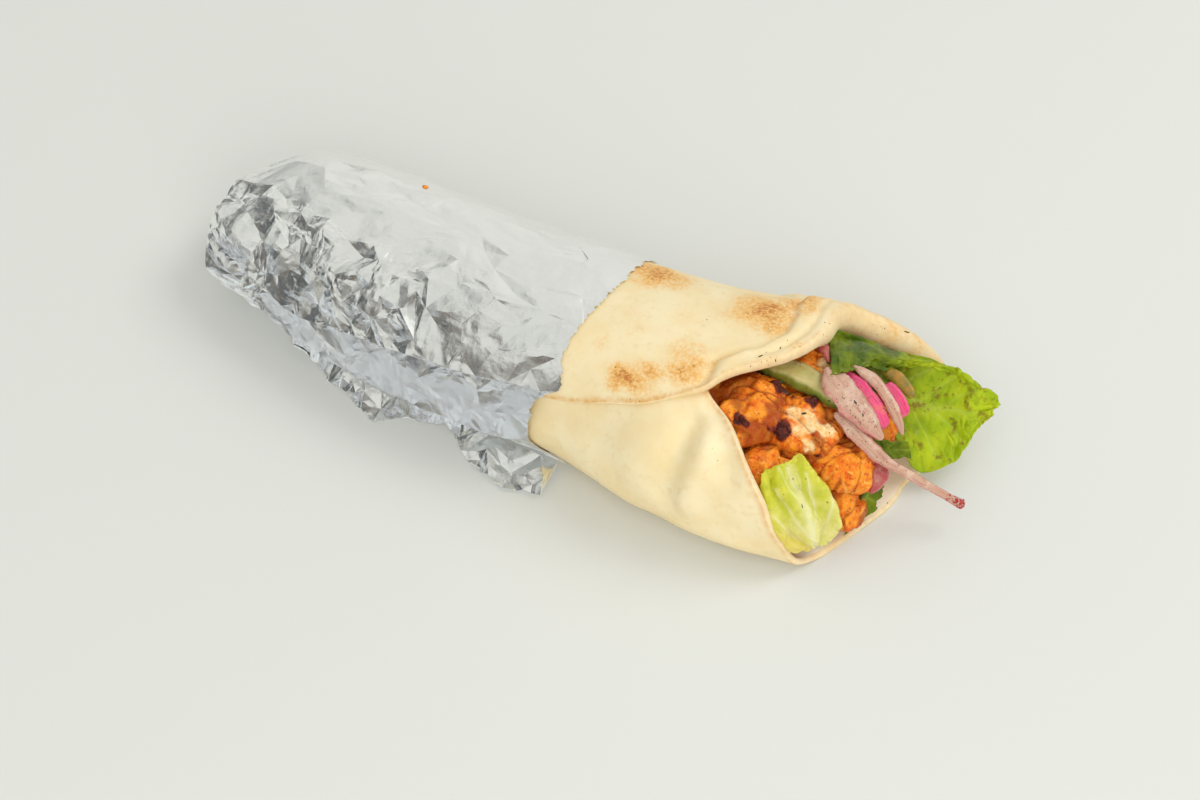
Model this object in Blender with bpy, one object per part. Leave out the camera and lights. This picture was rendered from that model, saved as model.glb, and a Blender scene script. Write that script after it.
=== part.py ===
"""A chicken kebab wrap, lying down. A flatbread is rolled round grilled chicken, its tail is in a cup of
aluminium foil, and leaves, pickle, turnip and onion show with the chicken in its open, slanting mouth.

The design frame has +X from the foil tail to the mouth, +Y to the back and +Z up, with the floor at z = 0.
Lengths are written in millimetres and become metres when a mesh is made, and angles are in degrees. The
roll has one outer surface, made of cross-sections: an angle of 0 is its back, 90 its top, 180 its front
and 270 its underside."""

import math

import bmesh
import bpy
import numpy as np
from mathutils import Vector, noise

MM = 0.001

# Cross-sections of the roll: x, middle y, half width, height, lift of the underside, and the share of the
# height at which the front is widest. Towards the mouth the front slopes out to a low fold.
SECTIONS = np.array(
    [
        (-155, 9.5, 17.5, 25.5, 6.0, 0.38),
        (-151, 12.5, 25.5, 30.5, 2.0, 0.38),
        (-144, 14.3, 30.0, 34.5, 0.4, 0.38),
        (-132, 15.2, 33.0, 38.7, 0.0, 0.38),
        (-110, 12.0, 36.0, 42.7, 0.0, 0.38),
        (-75, 6.8, 38.4, 46.2, 0.0, 0.38),
        (-40, 3.0, 38.7, 48.3, 0.0, 0.38),
        (0, 1.8, 39.8, 50.8, 0.0, 0.37),
        (35, -2.2, 45.0, 53.5, 0.0, 0.33),
        (65, 0.2, 48.4, 54.0, 0.0, 0.25),
        (90, 3.9, 48.6, 52.0, 0.0, 0.18),
        (112, 5.0, 46.0, 48.0, 0.0, 0.16),
    ],
    float,
)
BACK_WAIST = 0.38  # share of the height at which the back is widest
TOP_POWER = 2.25  # of the upper half's superellipse
BASE_POWER = 2.9  # of the lower half's, which is squarer
SAG = 2.5  # how far the underside is pressed flat

BREAD = 2.6  # thickness
FOIL = 0.6  # thickness of the foil with its creases
GAP = 0.35  # between layers that touch
FOIL_CLEAR = 1.15  # between the foil and the bread, whose flat facets need more room
BREAD_TAIL = -141.0
FOIL_TAIL = -155.0

# Where the bread ends, as (angle, x). The sheet starts under the upper flap, goes down the front,
# along the base and up the back, and its outer edge is the seam, from the notch at 472 to 517.
BREAD_EDGE = (
    (103, 45), (112, 49.5), (125, 61), (141, 71.3), (156, 79.5), (168, 84), (179, 90.5), (190, 92.5),
    (207, 94.5), (228, 99), (248, 105), (261, 110), (270, 112.5), (276, 115), (300, 117.5), (330, 116),
    (356, 111), (369, 107.5), (377, 102), (382, 95), (386, 88), (392, 82), (402, 78.5), (418, 77),
    (434, 76.8), (441, 75.5), (448, 71.8), (456, 63.5), (461, 57.8), (467, 53), (472, 50), (482, 39),
    (490, 31), (499.5, 19), (508.5, 9), (514, 0), (517, -8),
)
SEAM = ((-8, 157), (0, 154), (9, 148.5), (19, 139.5), (31, 129.5), (39, 122), (50, 112))
HEM_RISE = 2.6  # how far the upper flap's edge curls up
HEM_WIDTH = 5.0
ROLL_RADIUS = 50.0  # at the mouth, roughly: turns degrees round the roll into a distance

# Where the foil is torn off, as (angle, x).
FOIL_EDGE = (
    (0, 4), (50, 3.5), (75, 3.2), (96, 0), (112, -2), (130, -3), (148, -1), (155, -7), (171, -9),
    (190, -8), (199, -5), (204, 3), (207, 5), (211, 3), (225, -4), (270, -6), (330, 0), (360, 4),
)
# The gathered foil along the front, low down, as (x, reach beyond the cup).
SKIRT = (
    (-106, 0), (-94, 3), (-82, 7.5), (-67, 10), (-62, 5), (-52, 2), (-41, 2), (-35, 5), (-26, 11),
    (-14, 17.5), (-8, 14.5), (4, 11.5), (6, 10),
)
SKIRT_ANGLES = (203, 207, 211)
SKIRT_HEIGHT = 2.6

# The heap of chicken ends in a slanting face, whose line in the X-Z plane has this start and fall.
FACE_START = (52.0, 41.0)
FACE_FALL = 0.78
CORE_DEPTH = 8.4  # of the chicken's outside, below the roll's
CORE_TAIL = -131.0

# Chunks of chicken on that face: centre, half sizes, turn about Z, seed of their lumps.
CHUNKS = {
    "chicken_chunk_top": ((61.5, -13.5, 36.5), (13.5, 15.5, 11.5), 20, 1),
    "chicken_chunk_middle": ((79.5, -9.0, 30.5), (17.0, 13.5, 12.5), -15, 2),
    "chicken_chunk_right": ((94.0, -11.0, 23.0), (12.5, 12.0, 9.5), 10, 3),
    "chicken_chunk_low": ((93.5, -18.5, 14.5), (10.0, 9.0, 8.0), 0, 4),
    "chicken_chunk_end": ((99.5, -16.5, 8.5), (7.5, 8.0, 5.3), 15, 5),
    "chicken_chunk_front": ((73.0, -28.0, 25.5), (11.5, 11.5, 12.0), 0, 6),
    "chicken_chunk_back": ((74.0, 13.0, 34.0), (14.0, 12.0, 10.5), 30, 7),
    "chicken_chunk_inner": ((91.0, 13.0, 19.0), (15.0, 14.0, 12.0), -20, 8),
    "chicken_chunk_far": ((89.0, 32.0, 15.0), (14.0, 12.0, 10.5), 10, 9),
}
CHUNK_LUMP = 0.13  # share of the radius
CHUNK_CLEAR = 6.9  # depth below the roll's outside at which the chunks stop

# Long pieces that lie on the chicken: the look, the points of the middle line as (x, y, z, half width),
# the thickness and the way the flat side faces.
TOWARDS_MOUTH = (0.3, -0.5, 0.8)
UPWARDS = (0.0, 0.0, 1.0)
STRIPS = {
    "pickle_spear": (
        "pickle",
        ((57, 5, 41.5, 4.0), (67, 4.5, 43, 4.6), (80, 3.5, 41.5, 4.6), (93, 1.5, 36.5, 3.4)),
        6.0, UPWARDS,
    ),
    "onion_wedge": (
        "onion",
        ((80.5, 7.5, 46.8, 2.8), (86, 3.2, 46.8, 5.0), (92.5, -0.2, 44.8, 5.6), (99.8, -2.4, 40.5, 4.6),
         (106, -4.0, 35, 2.2)),
        2.2, UPWARDS,
    ),
    "onion_long_strip": (
        "onion",
        ((89, -5, 41, 1.6), (96, -6.9, 38.6, 2.6), (102.5, -8.2, 34.4, 2.8), (109, -7.8, 29.3, 2.1),
         (117, -5.2, 23.5, 1.65), (126, -2, 16.5, 1.5), (132, -0.3, 12.5, 1.7), (136, 0, 11, 2.3)),
        2.0, TOWARDS_MOUTH,
    ),
    "onion_curved_strip": (
        "onion",
        ((88, 13.5, 45.5, 1.3), (96, 11.5, 44.6, 2.0), (103, 8.0, 41.5, 2.0), (108, 5.5, 36, 1.8),
         (110.5, 4.0, 31, 1.2)),
        1.8, TOWARDS_MOUTH,
    ),
    "onion_curl": (
        "onion",
        ((71, 23, 42.5, 1.2), (76, 17, 45.5, 1.8), (80, 11.5, 46.2, 1.2)),
        1.6, UPWARDS,
    ),
    "onion_pink_bit": (
        "onion",
        ((103.5, -4.5, 27.5, 1.6), (108, -9.5, 24.5, 3.0), (107.5, -15.5, 20, 1.8)),
        2.4, TOWARDS_MOUTH,
    ),
    "turnip_stick": (
        "turnip",
        ((84, 12.0, 40.5, 3.2), (92, 8.5, 40, 3.8), (99, 5.0, 37, 3.8), (104, 2.0, 33, 3.2)),
        6.0, TOWARDS_MOUTH,
    ),
    "turnip_end": (
        "turnip",
        ((98, 17.5, 35.5, 3.0), (104, 13.5, 35, 3.4), (108.5, 10.5, 32.5, 3.0)),
        4.6, TOWARDS_MOUTH,
    ),
    "pepper_strip": (
        "pepper",
        ((94, 25, 36.5, 1.6), (102, 22.5, 36.3, 2.2), (108.5, 19, 33.8, 1.7)),
        1.8, TOWARDS_MOUTH,
    ),
}
CUT_CLEAR = 0.6  # round a piece that is let into the chicken
STRIP_SIDES = 8
STRIP_RINGS = 9

# Leaves, as two edges of points, the thickness, the height of the cup between the edges and the ripple.
LEAVES = {
    "large_leaf": (
        "dark_leaf",
        ((72, 30, 42), (84, 32, 40.5), (97, 35, 36.5), (109, 38.5, 34), (118, 39.5, 31), (126, 37.5, 28),
         (132.5, 40, 24), (134, 37, 22.5)),
        ((75, 22, 38), (87, 19, 32), (98, 15, 26), (107, 9.5, 19), (117.5, 8.5, 9), (126, 16, 10.5),
         (130, 27, 16.5), (134, 34, 21)),
        1.0, 3.0, 1.2,
    ),
    "romaine_leaf": (
        "light_leaf",
        ((75, -33.5, 37.5), (80, -38.5, 31), (85, -42, 22), (90, -41.5, 12), (95.5, -38.5, 7.5)),
        ((84.5, -23.5, 39.5), (90.5, -24, 32), (98, -25, 23), (101.5, -29, 13), (100, -34, 7)),
        1.0, 2.0, 1.0,
    ),
    "low_leaf": (
        "dark_leaf",
        ((104.5, -9, 18.5), (109.5, -4, 14)),
        ((101.5, -28, 5.5), (110, -9, 6)),
        0.9, 1.5, 0.5,
    ),
    "dark_leaf_bit": (
        "dark_leaf",
        ((101, -1.5, 31.5), (108, 2, 29.5), (113, 6.5, 27)),
        ((107, -3.5, 25), (111, -1, 23), (115, 3, 21.5)),
        0.9, 1.2, 0.5,
    ),
}
LEAF_CELLS = {"large_leaf": (15, 8), "romaine_leaf": (10, 6), "low_leaf": (5, 4), "dark_leaf_bit": (5, 3)}


def curve(points, at):
    """A smooth curve through (at, value) points, read at other places."""
    xs, ys = np.array(points, float).T
    return smooth_columns(xs, ys, at)


def smooth_columns(xs, ys, at):
    """Smooth curves through the values ys at xs, one for each column of ys, read at other places."""
    at = np.clip(at, xs[0], xs[-1])
    slope = np.gradient(ys, xs, axis=0)
    i = np.clip(np.searchsorted(xs, at) - 1, 0, len(xs) - 2)
    if ys.ndim > 1:
        i = i[..., 0]
        h = (xs[i + 1] - xs[i])[..., None]
        t = (at - xs[i][..., None]) / h
    else:
        h = xs[i + 1] - xs[i]
        t = (at - xs[i]) / h
    rise = t * t * (3 - 2 * t)
    start = t * (1 - t) ** 2 * h
    stop = -t * t * (1 - t) * h
    return (1 - rise) * ys[i] + rise * ys[i + 1] + start * slope[i] + stop * slope[i + 1]


def step(low, high, at):
    """0 below low, 1 above high, and a smooth rise between them."""
    t = np.clip((np.asarray(at, float) - low) / (high - low), 0, 1)
    return t * t * (3 - 2 * t)


def section_at(x):
    """Middle, half width, height, lift and front waist of the section at x."""
    values = smooth_columns(SECTIONS[:, 0], SECTIONS[:, 1:], np.atleast_1d(x)[..., None])
    return np.moveaxis(np.maximum(values, (-99, 0, 0, 0, 0)), -1, 0)


def roll_point(x, angle, depth, base):
    """The point at this x and angle, depth under the roll's outer surface and no lower than base."""
    x, angle, depth, base = np.broadcast_arrays(x, angle, depth, base)
    middle, half, height, lift, share = section_at(x)
    c, s = np.cos(np.radians(angle)), np.sin(np.radians(angle))
    waist = height * np.where(c < 0, share, BACK_WAIST)
    upper = s >= 0
    power = 2 / np.where(upper, TOP_POWER, BASE_POWER)
    reach = np.where(upper, height - waist, waist + SAG) - depth
    y = middle + (half - depth) * np.sign(c) * np.abs(c) ** power
    z = lift + waist + reach * np.sign(s) * np.abs(s) ** power
    return np.stack([x, y, np.maximum(z, base + lift)], axis=-1)


def even_angles(start, stop, count, extra=()):
    """Angles from start to stop, evenly spaced along a section's outline, and the extra ones."""
    fine = np.linspace(start, stop, 2000)
    outline = roll_point(20.0, fine, 0.0, 0.0)
    length = np.concatenate([[0], np.cumsum(np.linalg.norm(np.diff(outline, axis=0), axis=1))])
    angles = np.interp(np.linspace(0, length[-1], count + 1), length, fine)
    return np.array(sorted(set(angles) | set(extra)))


def material(name, colour, roughness, metallic=0.0):
    made = bpy.data.materials.new(name)
    made.use_nodes = True
    shader = made.node_tree.nodes["Principled BSDF"]
    shader.inputs["Base Color"].default_value = (*colour, 1)
    shader.inputs["Roughness"].default_value = roughness
    shader.inputs["Metallic"].default_value = metallic
    return made


def add_object(name, points, faces, look):
    """A mesh object from points in millimetres, with its faces turned outwards."""
    mesh = bpy.data.meshes.new(name)
    mesh.from_pydata([tuple(p) for p in np.asarray(points) * MM], [], faces)
    sculpt = bmesh.new()
    sculpt.from_mesh(mesh)
    bmesh.ops.recalc_face_normals(sculpt, faces=sculpt.faces)
    sculpt.to_mesh(mesh)
    sculpt.free()
    mesh.materials.append(look)
    mesh.shade_smooth()
    made = bpy.data.objects.new(name, mesh)
    bpy.context.scene.collection.objects.link(made)
    return made


def tube_faces(rings, sides):
    """Faces between rings of the same number of points, each ring closed on itself."""
    faces = []
    for i in range(rings - 1):
        for j in range(sides):
            k = (j + 1) % sides
            faces.append((i * sides + j, i * sides + k, (i + 1) * sides + k, (i + 1) * sides + j))
    return faces


def sheet_solid(name, outer, inner, look):
    """A closed sheet from two grids of points, the outer and the inner side."""
    rows, columns = outer.shape[:2]
    rings = np.concatenate([outer, inner[:, ::-1]], axis=1)
    sides = 2 * columns
    faces = tube_faces(rows, sides)
    for i in (0, rows - 1):
        for j in range(columns - 1):
            faces.append(
                (i * sides + j, i * sides + j + 1, (i + 1) * sides - j - 2, (i + 1) * sides - j - 1)
            )
    return add_object(name, rings.reshape(-1, 3), faces, look)


def seam_angle(x):
    return curve(SEAM, x)


def bread_depth(x, angle, edge_x):
    """How far the sheet lies under the roll's outer surface: the front flap goes under the upper one,
    and the upper flap's edge curls up into a hem."""
    seam = seam_angle(x)
    under = (BREAD + GAP) * (1 - step(seam + 3, seam + 34, angle))
    slope = np.gradient(edge_x, axis=1) / np.gradient(angle, axis=1) / (ROLL_RADIUS * math.radians(1))
    distance = (edge_x - x) / np.sqrt(1 + slope**2)
    hem = HEM_RISE * step(372, 398, angle) * (1 - step(463, 492, angle))
    return under - hem * np.exp(-((distance / HEM_WIDTH) ** 2))


def flatbread(look):
    angles = even_angles(BREAD_EDGE[0][0], BREAD_EDGE[-1][0], 40)
    edge = curve(BREAD_EDGE, angles)
    along = np.concatenate([np.linspace(0, 0.8, 12), np.linspace(0.86, 1, 6)])
    x = BREAD_TAIL + along[:, None] * (edge - BREAD_TAIL)
    angle = np.broadcast_to(angles, x.shape)
    depth = bread_depth(x, angle, np.broadcast_to(edge, x.shape))
    lifted = (FOIL + FOIL_CLEAR) * (1 - step(8, 32, x))
    outer = roll_point(x, angle, depth, lifted)
    inner = roll_point(x, angle, depth + BREAD, lifted + BREAD)
    return sheet_solid("flatbread", outer, inner, look)


def foil_wrapper(look):
    """A cup with a closed tail and a gathered skirt low along its front."""
    angles = even_angles(0, 360, 26, SKIRT_ANGLES)[:-1]
    edge = curve(FOIL_EDGE, angles)
    along = np.concatenate([[0, 0.025, 0.07], np.linspace(0.15, 1, 13)])
    x = FOIL_TAIL + along[:, None] * (edge - FOIL_TAIL)
    angle = np.broadcast_to(angles, x.shape)
    outer = roll_point(x, angle, -FOIL_CLEAR - FOIL, 0.0)
    inner = roll_point(x, angle, -FOIL_CLEAR, FOIL)
    inner[:, :, 0] += FOIL * (1 - along[:, None])
    tip = angle == SKIRT_ANGLES[1]
    reach = np.interp(x, *np.array(SKIRT, float).T)
    outer[..., 1] -= np.where(tip, reach, 0)
    outer[..., 2] += np.where(tip & (reach > 0.5), SKIRT_HEIGHT - outer[..., 2], 0)
    rows, sides = x.shape
    points = [*outer.reshape(-1, 3), *inner.reshape(-1, 3)]
    inside = rows * sides
    faces = tube_faces(rows, sides)
    faces += [tuple(inside + k for k in reversed(face)) for face in tube_faces(rows, sides)]
    points += [outer[0].mean(axis=0) - (2, 0, 0), inner[0].mean(axis=0)]
    for j in range(sides):
        k = (j + 1) % sides
        last = inside - sides
        faces.append((last + j, last + k, inside + last + k, inside + last + j))
        faces.append((2 * inside, k, j))
        faces.append((2 * inside + 1, inside + j, inside + k))
    return add_object("foil_wrapper", points, faces, look)


def face_height(x):
    """Height of the heap's slanting end face."""
    return FACE_START[1] - FACE_FALL * (x - FACE_START[0])


def chicken_filling(look):
    """The chicken that runs through the roll, cut off slantwise at the mouth."""
    angles = even_angles(0, 360, 20)[:-1]
    xs = np.concatenate([[CORE_TAIL + 2], np.linspace(CORE_TAIL + 12, FACE_START[0] - 8, 9)])
    rings = [roll_point(x, angles, CORE_DEPTH, FOIL + FOIL_CLEAR + BREAD + 2 * GAP) for x in xs]
    rings[0] = rings[0].mean(axis=0) + 0.8 * (rings[0] - rings[0].mean(axis=0))
    face = roll_point(FACE_START[0], angles, CORE_DEPTH, BREAD + 2 * GAP)
    face[:, 0] = FACE_START[0] + (FACE_START[1] - face[:, 2]) / FACE_FALL
    rings.append(face)
    points = np.concatenate(rings)
    faces = tube_faces(len(rings), len(angles))
    last = len(points) - len(angles)
    faces.append(tuple(range(len(angles)))[::-1])
    faces.append(tuple(range(last, len(points))))
    return add_object("chicken_filling", points, faces, look)


def inside_roll(points, depth):
    """Below 1 where a point is inside the roll's section at this depth."""
    x, y, z = points.T
    middle, half, height, _, share = section_at(x)
    waist = height * np.where(y < middle, share, BACK_WAIST)
    upper = z >= waist
    power = np.where(upper, TOP_POWER, BASE_POWER)
    reach = np.where(upper, height - waist, waist + SAG) - depth
    return (np.abs(y - middle) / (half - depth)) ** power + (np.abs(z - waist) / reach) ** power


def chicken_chunk(name, look):
    """A lumpy ball that stops at the planes half way to its neighbours, at the heap's end face and inside
    the bread."""
    centre, radii, turn, seed = CHUNKS[name]
    sculpt = bmesh.new()
    bmesh.ops.create_icosphere(sculpt, subdivisions=3 if max(radii) > 13 else 2, radius=1)
    ways = np.array([v.co[:] for v in sculpt.verts])
    faces = [tuple(v.index for v in f.verts) for f in sculpt.faces]
    sculpt.free()
    middle = np.array(centre, float)
    c, s = math.cos(math.radians(turn)), math.sin(math.radians(turn))
    lumps = [noise.noise(Vector(w) * 1.6 + Vector((seed * 7.1, 0, 0))) for w in ways]
    offsets = ways * radii * (1 + CHUNK_LUMP * 2 * np.array(lumps))[:, None]
    offsets = offsets @ np.array([(c, s, 0), (-s, c, 0), (0, 0, 1)])
    reach = np.ones(len(ways))
    for other, (place, sizes, _, _) in CHUNKS.items():
        if other == name:
            continue
        between = np.array(place) - middle
        span = np.linalg.norm(between)
        share = np.mean(radii) / (np.mean(radii) + np.mean(sizes))
        along = offsets @ between / span
        limit = share * span - GAP / 2
        reach = np.where(along > limit, np.minimum(reach, limit / np.maximum(along, 1e-6)), reach)
    down = np.array([-FACE_FALL, 0, -1]) / math.hypot(FACE_FALL, 1)
    depth = (middle[2] - face_height(middle[0])) / math.hypot(FACE_FALL, 1) - GAP
    along = offsets @ down
    reach = np.where(along > depth, np.minimum(reach, depth / np.maximum(along, 1e-6)), reach)
    for _ in range(60):
        outside = inside_roll(middle + offsets * reach[:, None], CHUNK_CLEAR) > 1
        if not outside.any():
            break
        reach = np.where(outside, reach * 0.97, reach)
    return add_object(name, middle + offsets * reach[:, None], faces, look)


def smooth_line(points, count):
    """Points at even steps along a smooth curve through the given ones, with their further columns."""
    columns = np.array(points, float)
    length = np.concatenate([[0], np.cumsum(np.linalg.norm(np.diff(columns[:, :3], axis=0), axis=1))])
    at = np.linspace(0, length[-1], count)
    return np.stack([smooth_columns(length, column, at) for column in columns.T], axis=-1)


def unit(vectors):
    return vectors / np.linalg.norm(vectors, axis=-1, keepdims=True)


def strip(name, look):
    """A long piece with a rounded oblong section that narrows at both ends."""
    _, points, thickness, facing = STRIPS[name]
    line = smooth_line(points, STRIP_RINGS)
    centres, half = line[:, :3], line[:, 3]
    tangent = unit(np.gradient(centres, axis=0))
    side = unit(np.cross(tangent, facing))
    face = unit(np.cross(side, tangent))
    turn = np.linspace(0, 2 * math.pi, STRIP_SIDES, endpoint=False) + math.pi / STRIP_SIDES
    across = np.sign(np.cos(turn)) * np.abs(np.cos(turn)) ** 0.6
    up = np.sign(np.sin(turn)) * np.abs(np.sin(turn)) ** 0.6
    taper = np.linspace(-1, 1, STRIP_RINGS)
    taper = (1 - 0.5 * np.abs(taper) ** 6)[:, None, None]
    rings = centres[:, None] + taper * (
        across[:, None] * (side * half[:, None])[:, None] + up[:, None] * face[:, None] * thickness / 2
    )
    faces = tube_faces(STRIP_RINGS, STRIP_SIDES)
    last = (STRIP_RINGS - 1) * STRIP_SIDES
    faces.append(tuple(range(STRIP_SIDES))[::-1])
    faces.append(tuple(range(last, last + STRIP_SIDES)))
    return add_object(name, rings.reshape(-1, 3), faces, look)


def leaf(name, look):
    """A thin sheet between two edges, cupped and rippled."""
    _, first, second, thickness, cup, ripple = LEAVES[name]
    rows, columns = LEAF_CELLS[name]
    a = smooth_line(first, rows + 1)
    b = smooth_line(second, rows + 1)
    across = np.linspace(0, 1, columns + 1)
    grid = a[:, None] + across[:, None] * (b - a)[:, None]
    normal = unit(np.cross(np.gradient(grid, axis=0), np.gradient(grid, axis=1)))
    normal *= np.sign((normal @ TOWARDS_MOUTH).sum())
    along = np.linspace(0, 1, rows + 1)[:, None]
    edge = np.abs(2 * across - 1)
    rise = ripple * edge * np.sin(along * rows * 1.1) - cup * (1 - edge**2) * np.sin(math.pi * along)
    middle = grid + normal * rise[..., None]
    return sheet_solid(name, middle + normal * thickness / 2, middle - normal * thickness / 2, look)


def room_for(piece):
    """A cutter that makes room for a piece, a little larger all round."""
    cutter = bpy.data.objects.new("room_for_" + piece.name, piece.data.copy())
    bpy.context.scene.collection.objects.link(cutter)
    grow = cutter.modifiers.new("grow", "DISPLACE")
    grow.strength = CUT_CLEAR * MM
    grow.mid_level = 0
    cutter.hide_render = True
    cutter.display_type = "WIRE"
    return cutter


def cut(piece, cutter):
    trim = piece.modifiers.new(cutter.name, "BOOLEAN")
    trim.operation = "DIFFERENCE"
    trim.object = cutter


def stand_on_origin():
    """Moves everything, by one parent, so that the origin is under the middle of the whole object."""
    pieces = [piece for piece in bpy.data.objects if piece.type == "MESH"]
    corners = np.array([corner[:] for piece in pieces if not piece.hide_render for corner in piece.bound_box])
    low, high = corners.min(axis=0), corners.max(axis=0)
    wrap = bpy.data.objects.new("wrap", None)
    bpy.context.scene.collection.objects.link(wrap)
    wrap.location = (-(low[0] + high[0]) / 2, -(low[1] + high[1]) / 2, -low[2])
    for piece in pieces:
        piece.parent = wrap


def main():
    for old in list(bpy.data.objects):
        bpy.data.objects.remove(old)
    looks = {
        "bread": material("bread", (0.90, 0.76, 0.52), 0.75),
        "foil": material("foil", (0.80, 0.81, 0.82), 0.25, 1.0),
        "chicken": material("chicken", (0.72, 0.24, 0.05), 0.5),
        "pickle": material("pickle", (0.55, 0.50, 0.16), 0.35),
        "onion": material("onion", (0.80, 0.55, 0.45), 0.35),
        "turnip": material("turnip", (0.80, 0.04, 0.20), 0.35),
        "pepper": material("pepper", (0.60, 0.30, 0.02), 0.4),
        "dark_leaf": material("dark_leaf", (0.16, 0.32, 0.02), 0.45),
        "light_leaf": material("light_leaf", (0.60, 0.68, 0.12), 0.4),
    }
    flatbread(looks["bread"])
    foil_wrapper(looks["foil"])
    chicken_filling(looks["chicken"])
    chunks = [chicken_chunk(name, looks["chicken"]) for name in CHUNKS]
    salad = [strip(name, looks[STRIPS[name][0]]) for name in STRIPS]
    salad += [leaf(name, looks[LEAVES[name][0]]) for name in LEAVES]
    for piece in salad:
        cutter = room_for(piece)
        for chunk in chunks:
            cut(chunk, cutter)
    stand_on_origin()


main()
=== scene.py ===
"""The looks of a chicken kebab wrap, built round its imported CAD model.

Shapes are worked out in millimetres in the wrap's own design frame, whose origin is a little off the CAD's,
and are moved into the CAD's frame, in metres, when a mesh is made. On the roll, a place is an x and an
angle: 0 is its back, 90 its top, 180 its front and 270 its underside."""

import functools
import itertools
import math

import bmesh
import bpy
import numpy as np
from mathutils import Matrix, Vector
from mathutils.bvhtree import BVHTree
from mathutils.geometry import delaunay_2d_cdt


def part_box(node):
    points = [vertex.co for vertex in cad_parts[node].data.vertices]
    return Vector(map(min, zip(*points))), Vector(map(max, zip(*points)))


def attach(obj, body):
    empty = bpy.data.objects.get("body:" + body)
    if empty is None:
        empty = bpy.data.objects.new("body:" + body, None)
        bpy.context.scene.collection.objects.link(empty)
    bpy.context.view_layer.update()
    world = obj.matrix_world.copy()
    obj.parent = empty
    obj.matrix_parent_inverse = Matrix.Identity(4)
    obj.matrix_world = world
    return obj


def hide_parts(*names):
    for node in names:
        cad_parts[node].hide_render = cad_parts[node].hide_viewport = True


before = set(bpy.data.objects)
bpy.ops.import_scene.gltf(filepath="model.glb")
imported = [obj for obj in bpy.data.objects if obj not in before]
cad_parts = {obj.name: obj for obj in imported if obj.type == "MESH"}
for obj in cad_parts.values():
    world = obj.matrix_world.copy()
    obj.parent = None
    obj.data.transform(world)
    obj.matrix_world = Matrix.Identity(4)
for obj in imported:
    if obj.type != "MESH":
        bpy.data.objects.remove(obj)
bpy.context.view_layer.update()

MM = 0.001
UPWARDS = (0.0, 0.0, 1.0)
TOWARDS_MOUTH = (0.3, -0.5, 0.8)  # outwards from the filling's slanting end

# ---------------------------------------------------------------- the roll, of the same shape as the CAD's

# Cross-sections of the roll: x, middle y, half width, height, lift of the underside, front waist's share.
SECTIONS = np.array(
    [
        (-155, 9.5, 17.5, 25.5, 6.0, 0.38),
        (-151, 12.5, 25.5, 30.5, 2.0, 0.38),
        (-144, 14.3, 30.0, 34.5, 0.4, 0.38),
        (-132, 15.2, 33.0, 38.7, 0.0, 0.38),
        (-110, 12.0, 36.0, 42.7, 0.0, 0.38),
        (-75, 6.8, 38.4, 46.2, 0.0, 0.38),
        (-40, 3.0, 38.7, 48.3, 0.0, 0.38),
        (0, 1.8, 39.8, 50.8, 0.0, 0.37),
        (35, -2.2, 45.0, 53.5, 0.0, 0.33),
        (65, 0.2, 48.4, 54.0, 0.0, 0.25),
        (90, 3.9, 48.6, 52.0, 0.0, 0.18),
        (112, 5.0, 46.0, 48.0, 0.0, 0.16),
    ],
    float,
)
BACK_WAIST = 0.38  # where the roll is widest at the back, as a share of its height
TOP_POWER = 2.25  # how square the section is above its widest place, and below it
BASE_POWER = 2.9
SAG = 2.5  # how far the section would reach under the floor, where it is cut flat
BREAD = 2.6  # thicknesses, and the gaps between layers
FOIL = 0.6
GAP = 0.35
FOIL_CLEAR = 1.15
BREAD_TAIL = -141.0  # the tails' x
FOIL_TAIL = -155.0
# Edges of the rolled sheets at the mouth and of the foil, as (angle, x). The bread's angles run on past 360,
# to the upper flap's seam.
BREAD_EDGE = (
    (103, 45), (112, 49.5), (125, 61), (141, 71.3), (156, 79.5), (168, 84), (179, 90.5), (190, 92.5),
    (207, 94.5), (228, 99), (248, 105), (261, 110), (270, 112.5), (276, 115), (300, 117.5), (330, 116),
    (356, 111), (369, 107.5), (377, 102), (382, 95), (386, 88), (392, 82), (402, 78.5), (418, 77),
    (434, 76.8), (441, 75.5), (448, 71.8), (456, 63.5), (461, 57.8), (467, 53), (472, 50), (482, 39),
    (490, 31), (499.5, 19), (508.5, 9), (514, 0), (517, -8),
)
# The seam, where the upper flap ends on the front one, as (x, angle).
SEAM = ((-8, 157), (0, 154), (9, 148.5), (19, 139.5), (31, 129.5), (39, 122), (50, 112))
FOIL_EDGE = (
    (0, 4), (50, 3.5), (75, 3.2), (96, 0), (112, -2), (130, -3), (148, -1), (155, -7), (171, -9),
    (190, -8), (199, -5), (204, 3), (207, 5), (211, 3), (225, -4), (270, -6), (330, 0), (360, 4),
)
FACE_START = (52.0, 41.0)  # x and height where the filling's slanting end face begins
FACE_FALL = 0.78  # how much it falls for each millimetre towards the mouth
CORE_DEPTH = 8.4  # of the filling under the roll's surface
CORE_TAIL = -131.0


def smooth_columns(xs, ys, at):
    """Smooth curves through the values ys at xs, one for each column of ys, read at other places."""
    at = np.clip(at, xs[0], xs[-1])
    slope = np.gradient(ys, xs, axis=0)
    i = np.clip(np.searchsorted(xs, at) - 1, 0, len(xs) - 2)
    if ys.ndim > 1:
        i = i[..., 0]
        h = (xs[i + 1] - xs[i])[..., None]
        t = (at - xs[i][..., None]) / h
    else:
        h = xs[i + 1] - xs[i]
        t = (at - xs[i]) / h
    rise = t * t * (3 - 2 * t)
    start = t * (1 - t) ** 2 * h
    stop = -t * t * (1 - t) * h
    return (1 - rise) * ys[i] + rise * ys[i + 1] + start * slope[i] + stop * slope[i + 1]


def curve(points, at):
    """A smooth curve through (at, value) points, read at other places."""
    xs, ys = np.array(points, float).T
    return smooth_columns(xs, ys, at)


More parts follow.
